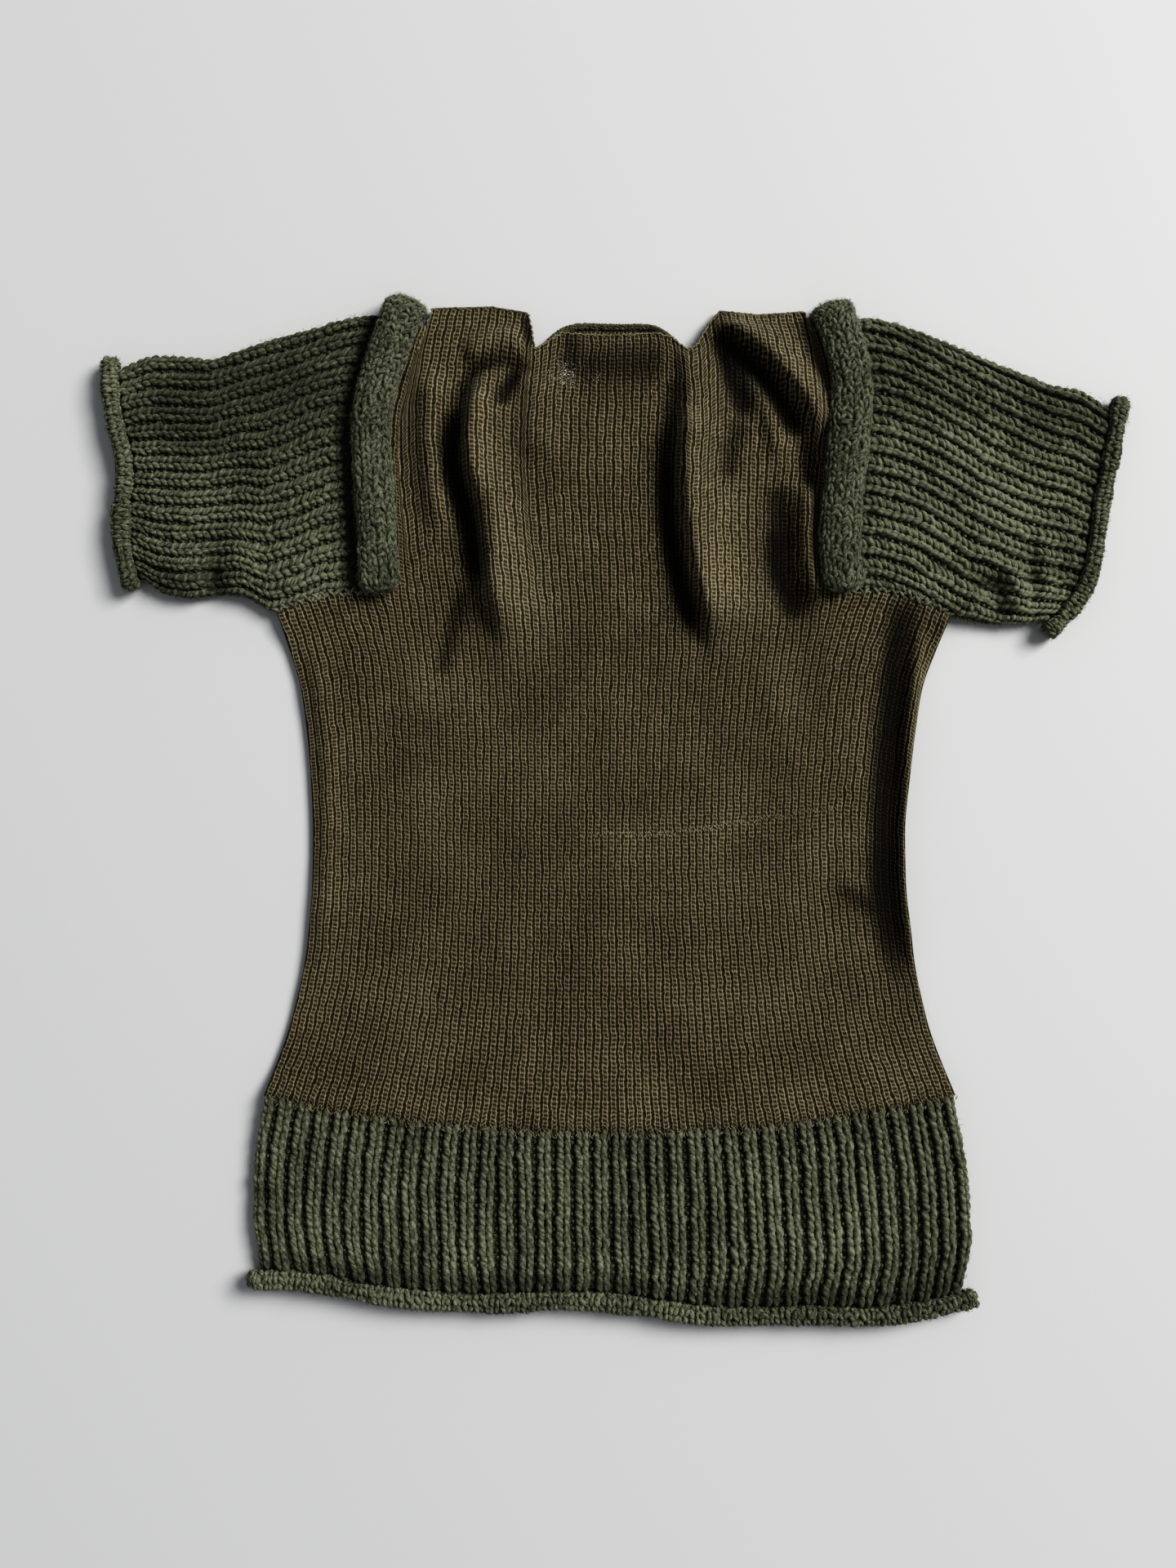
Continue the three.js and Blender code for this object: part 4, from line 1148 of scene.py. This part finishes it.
# %% The plan of the body panels, from the CAD panel's rim
def body_lines(node):
    """The lines round a body panel: hem, sides, underarms, armholes and top, each from left or below."""
    hem_left, hem_right = corner(node, (-1, -0.5)), corner(node, (1, -0.5))
    tip_left, tip_right = corner(node, (-1, 0.3)), corner(node, (1, 0.3))
    under_left, under_right, top_left, top_right = [
        nearest_corner(node, rims[sleeve_node][corner(sleeve_node, SLEEVE_CORNERS[sleeve_node][name])])
        for name in ("arm_low", "arm_high") for sleeve_node in ("sleeve_left", "sleeve_right")]
    return {
        "hem": between(node, hem_left, hem_right)[:, :2],
        "side_right": between(node, hem_right, tip_right)[:, :2],
        "under_right": between(node, tip_right, under_right)[::-1][:, :2],
        "arm_right": between(node, under_right, top_right)[:, :2],
        "top": between(node, top_right, top_left)[::-1][:, :2],
        "arm_left": between(node, top_left, under_left)[::-1][:, :2],
        "under_left": between(node, under_left, tip_left)[::-1][:, :2],
        "side_left": between(node, tip_left, hem_left)[::-1][:, :2],
    }


WING_RIBS_LEFT, MIDDLE_RIBS, WING_RIBS_RIGHT = 12, 56, 12
UNDERARM_LIFTS = {"under_left": 5.0, "under_right": 3.5}  # the tips are pulled up to the sleeves
UNDERARM_REACH = 20.0


def body_plan(node, per_rib, low_rows, high_rows, easing):
    """The panel's grid in plan, which of its cells are empty, and its lines. Rows run from hem to neck.
    easing is how many passes straighten the ribs of the middle."""
    lines = body_lines(node)
    left, middle, right = (ribs * per_rib for ribs in (WING_RIBS_LEFT, MIDDLE_RIBS, WING_RIBS_RIGHT))
    crossing = evenly(np.array([lines["arm_left"][0], lines["arm_right"][0]]), middle + 1)
    shoulder = np.concatenate([evenly(lines["under_left"], left + 1, 4), crossing[1:-1],
                               evenly(lines["under_right"], right + 1, 4)])
    low = panel(evenly(lines["hem"], left + middle + right + 1, 6), shoulder,
                evenly(lines["side_left"], low_rows + 1, 6), evenly(lines["side_right"], low_rows + 1, 6))
    high = panel(crossing, evenly(lines["top"], middle + 1, steepness=0.25),
                 evenly(lines["arm_left"], high_rows + 1, 4), evenly(lines["arm_right"], high_rows + 1, 4))
    grid = np.zeros((low_rows + high_rows + 1, left + middle + right + 1, 2))
    grid[:low_rows + 1] = low
    grid[low_rows:] = shoulder
    grid[low_rows:, left:left + middle + 1] = high
    for name, end in (("under_left", 0), ("under_right", -1)):
        grid[..., 1] += UNDERARM_LIFTS[name] * heap(grid, lines[name][end], UNDERARM_REACH)
    block = grid[:, left:left + middle + 1]
    calm = np.sin(math.pi * np.linspace(0, 1, middle + 1))[None, :, None] ** 0.5
    for _ in range(easing):
        block[1:-1] += 0.5 * calm * (0.5 * (block[:-2] + block[2:]) - block[1:-1])
    empty = np.zeros((low_rows + high_rows, left + middle + right), bool)
    empty[low_rows:, :left] = True
    empty[low_rows:, left + middle:] = True
    return grid, empty, lines


LOW_ROWS, HIGH_ROWS, PER_RIB = 62, 42, 4
front_grid, front_empty, front_lines = body_plan("body_front", PER_RIB, LOW_ROWS, HIGH_ROWS, 72)
print("front grid", front_grid.shape, "hem", round(length_of(front_lines["hem"])), "mm")


# %% The height of the front over the table, and the painted shade of its hollows
RIDGE_PAINTED_LIGHT = 0.10  # painted highlight: how much lighter the knit is painted on the highest ridges
FULL_RIDGE = 14  # the height of a ridge that gets the full painted highlight


def fold_share(line, west_reach, east_reach, places):
    """1 on a fold's line, falling to 0 beside it and towards its ends."""
    gap, along, east = near_line(softened(line), places)
    reach = west_reach + (east_reach - west_reach) * smoothstep(east / (gap + 0.5), -0.6, 0.6)
    fade = smoothstep(along, -0.05, 0.14) * (1 - smoothstep(along, 0.84, 1.05))
    return np.exp(-(gap / reach) ** 2) * fade


def painted_fold_shade(places):
    """How much painted shade each place gets for lying in a crease, from 0 to 1. On a ridge it is below 0,
    a painted highlight."""
    light = np.ones(len(places))
    for line, _, west_reach, east_reach, dark in CREASES:
        light *= 1 - dark * fold_share(line, west_reach, east_reach, places)
    crown = np.max([fold_share(line, west, east, places) * min(height / FULL_RIDGE, 1)
                    for line, height, west, east in RIDGES], axis=0)
    return 1 - light - RIDGE_PAINTED_LIGHT * crown * light


def front_height(places):
    sides = [softened(front_lines[name], 30) for name in ("side_left", "side_right")]
    seams = [softened(front_lines[name], 40)
             for name in ("hem", "arm_left", "arm_right", "under_left", "under_right")]
    side_gap = np.min([near_line(line, places)[0] for line in sides], axis=0)
    seam_gap = np.min([near_line(line, places)[0] for line in seams], axis=0)
    rise = CHEST_LOFT * smoothstep(places[:, 1], *CHEST_START) * smoothstep(side_gap, 0, SIDE_FADE)
    for line, height, west_reach, east_reach in RIDGES:
        rise += height * fold_share(line, west_reach, east_reach, places)
    for line, depth, west_reach, east_reach, _ in CREASES:
        rise -= depth * fold_share(line, west_reach, east_reach, places)
    for seed, height, size in RIPPLES:
        rise += height * cloudy(seed, places[:, 0] + 300, places[:, 1] + 400, size)
    rise *= (1 - smoothstep(places[:, 1], *TOP_END)) * smoothstep(seam_gap, *SEAM_FADE)
    neck = smoothstep(places[:, 1], *NECK_START) * smoothstep(NECK_HALF - np.abs(places[:, 0]), 0, 4)
    seam = np.exp(-(seam_gap / SEAM_REACH) ** 2)
    return REST_UNDER + np.max([rise, 0 * rise, NECK_RISE * neck, SEAM_RISE * seam], axis=0)


COURSE_LOW, COURSE_HIGH = 2.8, 2.3  # height of one course of the fine knit, at the hem and at the neck
RIB_HEIGHT = 0.2  # how far a fine rib stands above the knit's middle level
SCALLOP = 3.6  # how far the hem reaches down into the gaps between the band's ribs
SCALLOP_ROWS = (1.0, 0.6, 0.3)  # how much of that the lowest rows take part in


def band_gap_share(x):
    """0 in front of a rib of the hem band and 1 in front of the gap between two ribs."""
    rib = (np.arange(BAND_RIBS // 2) + 0.5) / BAND_RIBS
    middles = band_form.lay(rib, np.ones(len(rib)), np.zeros(len(rib)))[:, 0]
    away = np.abs(np.asarray(x)[..., None] - middles).min(axis=-1)
    return smoothstep(away / (BAND_GAUGE[0] / 2), 0.45, 1.0)


def course_marks(grid):
    """The course of stitches that each row of a panel is on. Courses are taller towards the hem."""
    spine = grid[:, grid.shape[1] // 2]
    steps = np.linalg.norm(np.diff(spine, axis=0), axis=1)
    sizes = COURSE_LOW + (COURSE_HIGH - COURSE_LOW) * smoothstep(spine[1:, 1], -170, 80)
    return np.concatenate([[0], np.cumsum(steps / sizes)])


def knitted_panel(node, grid, empty, under, wall, per_rib, painted_shade=0.0):
    """A fine panel with real ribs: a wall from an underside height to the ribbed top."""
    ribbed = -RIB_HEIGHT * np.cos(2 * math.pi * np.arange(grid.shape[1]) / per_rib)
    inner = np.concatenate([grid, under[..., None]], axis=2)
    outer = np.concatenate([grid, (under + wall + ribbed)[..., None]], axis=2)
    piece = cloth(node + "_knit", outer, inner, (1 / per_rib, course_marks(grid)), holes=empty, painted_shade=painted_shade)
    dress(piece, OLIVE, node)
    return piece


scallop = band_gap_share(front_grid[0, :, 0])
for row, share in enumerate(SCALLOP_ROWS):
    front_grid[row, :, 1] -= SCALLOP * scallop * share
front_under = front_height(front_grid.reshape(-1, 2)).reshape(front_grid.shape[:2])
front_under[0] -= 1.0 * scallop
front_painted_fold_shade = painted_fold_shade(front_grid.reshape(-1, 2)).reshape(front_grid.shape[:2])
body_front = knitted_panel("body_front", front_grid, front_empty, front_under, FINE_WALL, PER_RIB,
                           front_painted_fold_shade)

# %% The back panel lies flat on the table
BACK_PER_RIB = 3
BACK_UNDER, BACK_WALL = 0.1, 1.7
back_grid, back_empty, _ = body_plan("body_back", BACK_PER_RIB, 30, 18, 24)
back_under = np.full(back_grid.shape[:2], BACK_UNDER)
body_back = knitted_panel("body_back", back_grid, back_empty, back_under, BACK_WALL, BACK_PER_RIB)

# %% [markdown]
# ## Edges, the mended row and the joining loops
#
# The neck and shoulder edges are cast off in a light chain. Where the fine knit meets the heavy band, its
# last loops are picked up by the heavy wool and show as tiny light loops. A row across the front was once
# mended: its stitches are a little lighter and bumpier than the rest. All three are short rods of thin yarn.
# The underarm seams are sewn with the heavy wool, in the same way.

# %% Thin yarn stitches on the front
THIN_YARN = heavy_wool("thin_olive_yarn", (0.030, 0.024, 0.013), (0.150, 0.125, 0.072), (0.42, 0.37, 0.24),
                       1.6)


def stitches(name, places, turn, length, thick, seed, ground=None, jitter=0.15, lift=0.0, yarn=THIN_YARN):
    """Rods of yarn on the front, or at a ground height. turn is each rod's angle from the body's up,
    clockwise."""
    flat = np.zeros(len(places))
    made = rods((flat, flat), (np.sin(turn) * length, np.cos(turn) * length), thick=thick, sunk=0.45,
                rings=4, sides=4, seed=seed, jitter=jitter, lift=lift, plump=0.5)
    under = front_height(places) + FINE_WALL if ground is None else flat + ground
    laid = np.stack([places[:, 0, None, None] + made["across"], places[:, 1, None, None] + made["along"],
                     under[:, None, None] + made["height"]], axis=-1)
    piece = yarn_piece(name, [(laid, made["start"], made["length"], 0 * made["height"])])
    dress(piece, yarn)
    return piece


def along_line(line, pitch):
    """Places about a pitch apart on a plan line, and the line's angle from the body's up at each."""
    places = evenly(line, int(length_of(line) / pitch) + 2)
    ahead = np.gradient(places, axis=0)
    return places, np.arctan2(ahead[:, 0], ahead[:, 1])


def by_turns(count, one, other, each=1):
    """A value for each stitch, changing over after each one, or after each few."""
    return np.where(np.arange(count) // each % 2, other, one)


edge_places, edge_turn = along_line(front_lines["top"] - [0, 0.7], 1.9)
edge_turn += by_turns(len(edge_turn), -0.35, 0.35)
cast_off = stitches("neck_cast_off", edge_places, edge_turn, 3.2, 0.55, 51, lift=0.35)

MENDED_LINE = [(-15, -15), (12, -15), (40, -14), (67, -9.5), (87, -6), (121, -0.5), (136, 0)]
mended_places, _ = along_line(softened(MENDED_LINE, 60), 0.95)
mended_places[:, 1] += by_turns(len(mended_places), 0.8, -0.9, each=2)
mended_turn = by_turns(len(mended_places), -0.55, 0.55)
mended_row = stitches("mended_row", mended_places, mended_turn, 2.5, 0.46, 52, jitter=0.35, lift=0.1)

hem_places, _ = along_line(front_grid[0] - [0, 0.4], 1.7)
hem_rng = np.random.default_rng(53)
hem_turn = hem_rng.uniform(-1.1, 1.1, len(hem_places))
hem_level = TUBE_HIGH - 1.0 + hem_rng.uniform(-0.5, 0.5, len(hem_places))
joining_loops = stitches("joining_loops", hem_places, hem_turn, 3.0, 0.42, 53, hem_level, jitter=0.5)

SEAM_PITCH, SEAM_STITCH, SEAM_YARN = 2.6, 6.5, 1.3
seam_row = front_grid[LOW_ROWS]
seam_places, seam_turn = [], []
for row_end in (seam_row[:WING_RIBS_LEFT * PER_RIB + 1], seam_row[-WING_RIBS_RIGHT * PER_RIB - 1:]):
    places, turn = along_line(row_end, SEAM_PITCH)
    seam_places.append(places + [0, 0.8])
    seam_turn.append(turn - math.pi / 2 + by_turns(len(turn), -0.7, 0.9))
underarm_seams = stitches("underarm_seams", np.concatenate(seam_places), np.concatenate(seam_turn),
                          SEAM_STITCH, SEAM_YARN, 54, TUBE_HIGH - 2.2, jitter=0.6, yarn=HEATHER)

# %% [markdown]
# ## The turned edge of the back neck
#
# Behind the front's neck edge the back's own edge shows. It is turned over, so it is a thin roll of fine
# knit, darker than the body because its purl side faces out. Small legs of yarn cover it.

# %% The back's turned neck edge
TURNED = heavy_wool("turned_edge_wool", (0.008, 0.008, 0.004), (0.058, 0.053, 0.028), (0.20, 0.18, 0.105),
                    2.0)


NECK_RIBS, NECK_ROW = 6, 1.8  # wales all round, and the height of a row
NECK_LEG = {"lean": (0.1, 0.7), "length": 2.7, "thick": 0.55, "sunk": 0.4, "lift": -0.35}


def neck_edge(node, seed):
    line, half_width, half_height, middle = middle_line(node, 70)
    path = at_height(line, middle)
    share = np.linspace(0, 1, len(path))
    ends = blunt(np.minimum(share, 1 - share), 0.04, 0.1)
    rings = tube(path, sideways(line), (half_width + 0.3) * ends, half_height * ends, 33,
                 -math.pi / 2)[:, :-1]
    form = Form(rings, cores=path[:, None])
    girth, long = length_of(rings[35]), length_of(path)
    rows = int(round(long / NECK_ROW))
    rib, leg_side, row = every(range(NECK_RIBS), range(rows))
    legs = v_legs(rib, leg_side, rings=4, sides=5, seed=seed, **NECK_LEG)
    yarn = knit(form, (NECK_RIBS, rows), (girth / NECK_RIBS, long / rows), rib, row, legs)
    piece = yarn_piece(node + "_knit", [yarn], core_of(form, 50, 16, 0.5))
    dress(piece, TURNED, node)
    return piece


neck_edge_back = neck_edge("neck_edge_back", 61)

# %% [markdown]
# ## Loose fibres
#
# Heavy wool is hairy. Fibres work out of the yarn and stand a millimetre or two off it, which softens every
# outline. Each one here is a very thin closed rod, curved so that its ends or its middle stand off the knit.

# %% Loose fibres on the heavy wool
HAIR = heavy_wool("loose_fibre", (0.06, 0.065, 0.04), (0.16, 0.17, 0.11), (0.30, 0.31, 0.22), 3.0)


STANDING = {"sunk": -2.3, "lift": -0.5}  # a fibre whose two ends stand off the knit
LOOPED = {"sunk": 1.6, "lift": 1.3}  # and one whose middle does
STANDING_SHARE = 0.6
FIBRE_LENGTH, FIBRE_THICK = (1.6, 5.0), 0.08


def loose_fibres(name, sources, seed):
    """sources are forms, with a count of fibres for each."""
    batches = []
    for k, (form, count) in enumerate(sources):
        rng = np.random.default_rng(seed + k)
        spots = rng.uniform(0, 1, (count, 2))
        ring = form.points[len(form.points) // 2]
        size = length_of(np.r_[ring, ring[:1]]), length_of(form.points[:, 0])
        length, turn = rng.uniform(*FIBRE_LENGTH, count), rng.uniform(0, 2 * math.pi, count)
        across, along = np.sin(turn) * length, np.cos(turn) * length
        standing = rng.uniform(0, 1, count) < STANDING_SHARE
        for part, curve in ((standing, STANDING), (~standing, LOOPED)):
            flat = np.zeros(part.sum())
            made = rods((flat, flat), (across[part], along[part]), thick=FIBRE_THICK, rings=3, sides=3,
                        seed=seed + 7 * k, jitter=0.5, **curve)
            places = spots[part] * size - 0.5
            laid, start, long, depth = knit(form, size, (1.0, 1.0), places[:, 0], places[:, 1], made)
            free = laid[..., 2].min(axis=(1, 2)) > 2 * TABLE_GAP
            batches.append((laid[free], start[free], long, depth[free]))
    piece = yarn_piece(name, batches)
    dress(piece, HAIR)
    return piece


band_fibres = loose_fibres("loose_fibres_band", [(band_form, 2500), (hem_roll_form, 2100)], 71)
sleeve_fibres = loose_fibres("loose_fibres_sleeves", [
    (sleeve_left_form, 1700), (sleeve_right_form, 1700), (cuff_left_form, 700), (cuff_right_form, 700)], 81)
roll_fibres = loose_fibres("loose_fibres_shoulders", [
    (roll_left_form, 2000), (roll_right_form, 2000)], 91)

# %% [markdown]
# ## The pieces
#
# Every mesh made above, apart from the CAD frame and the floor, is a piece of the garment. The two body
# panels, the band and the sleeves are knitted sheets. Here all the pieces are gathered and counted.

# %% Gathering the pieces
pieces = [o for o in bpy.context.scene.objects if o.type == "MESH" and "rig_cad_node" not in o and o != floor]
print(len(pieces), "pieces,", sum(triangles(piece) for piece in pieces), "triangles in all")
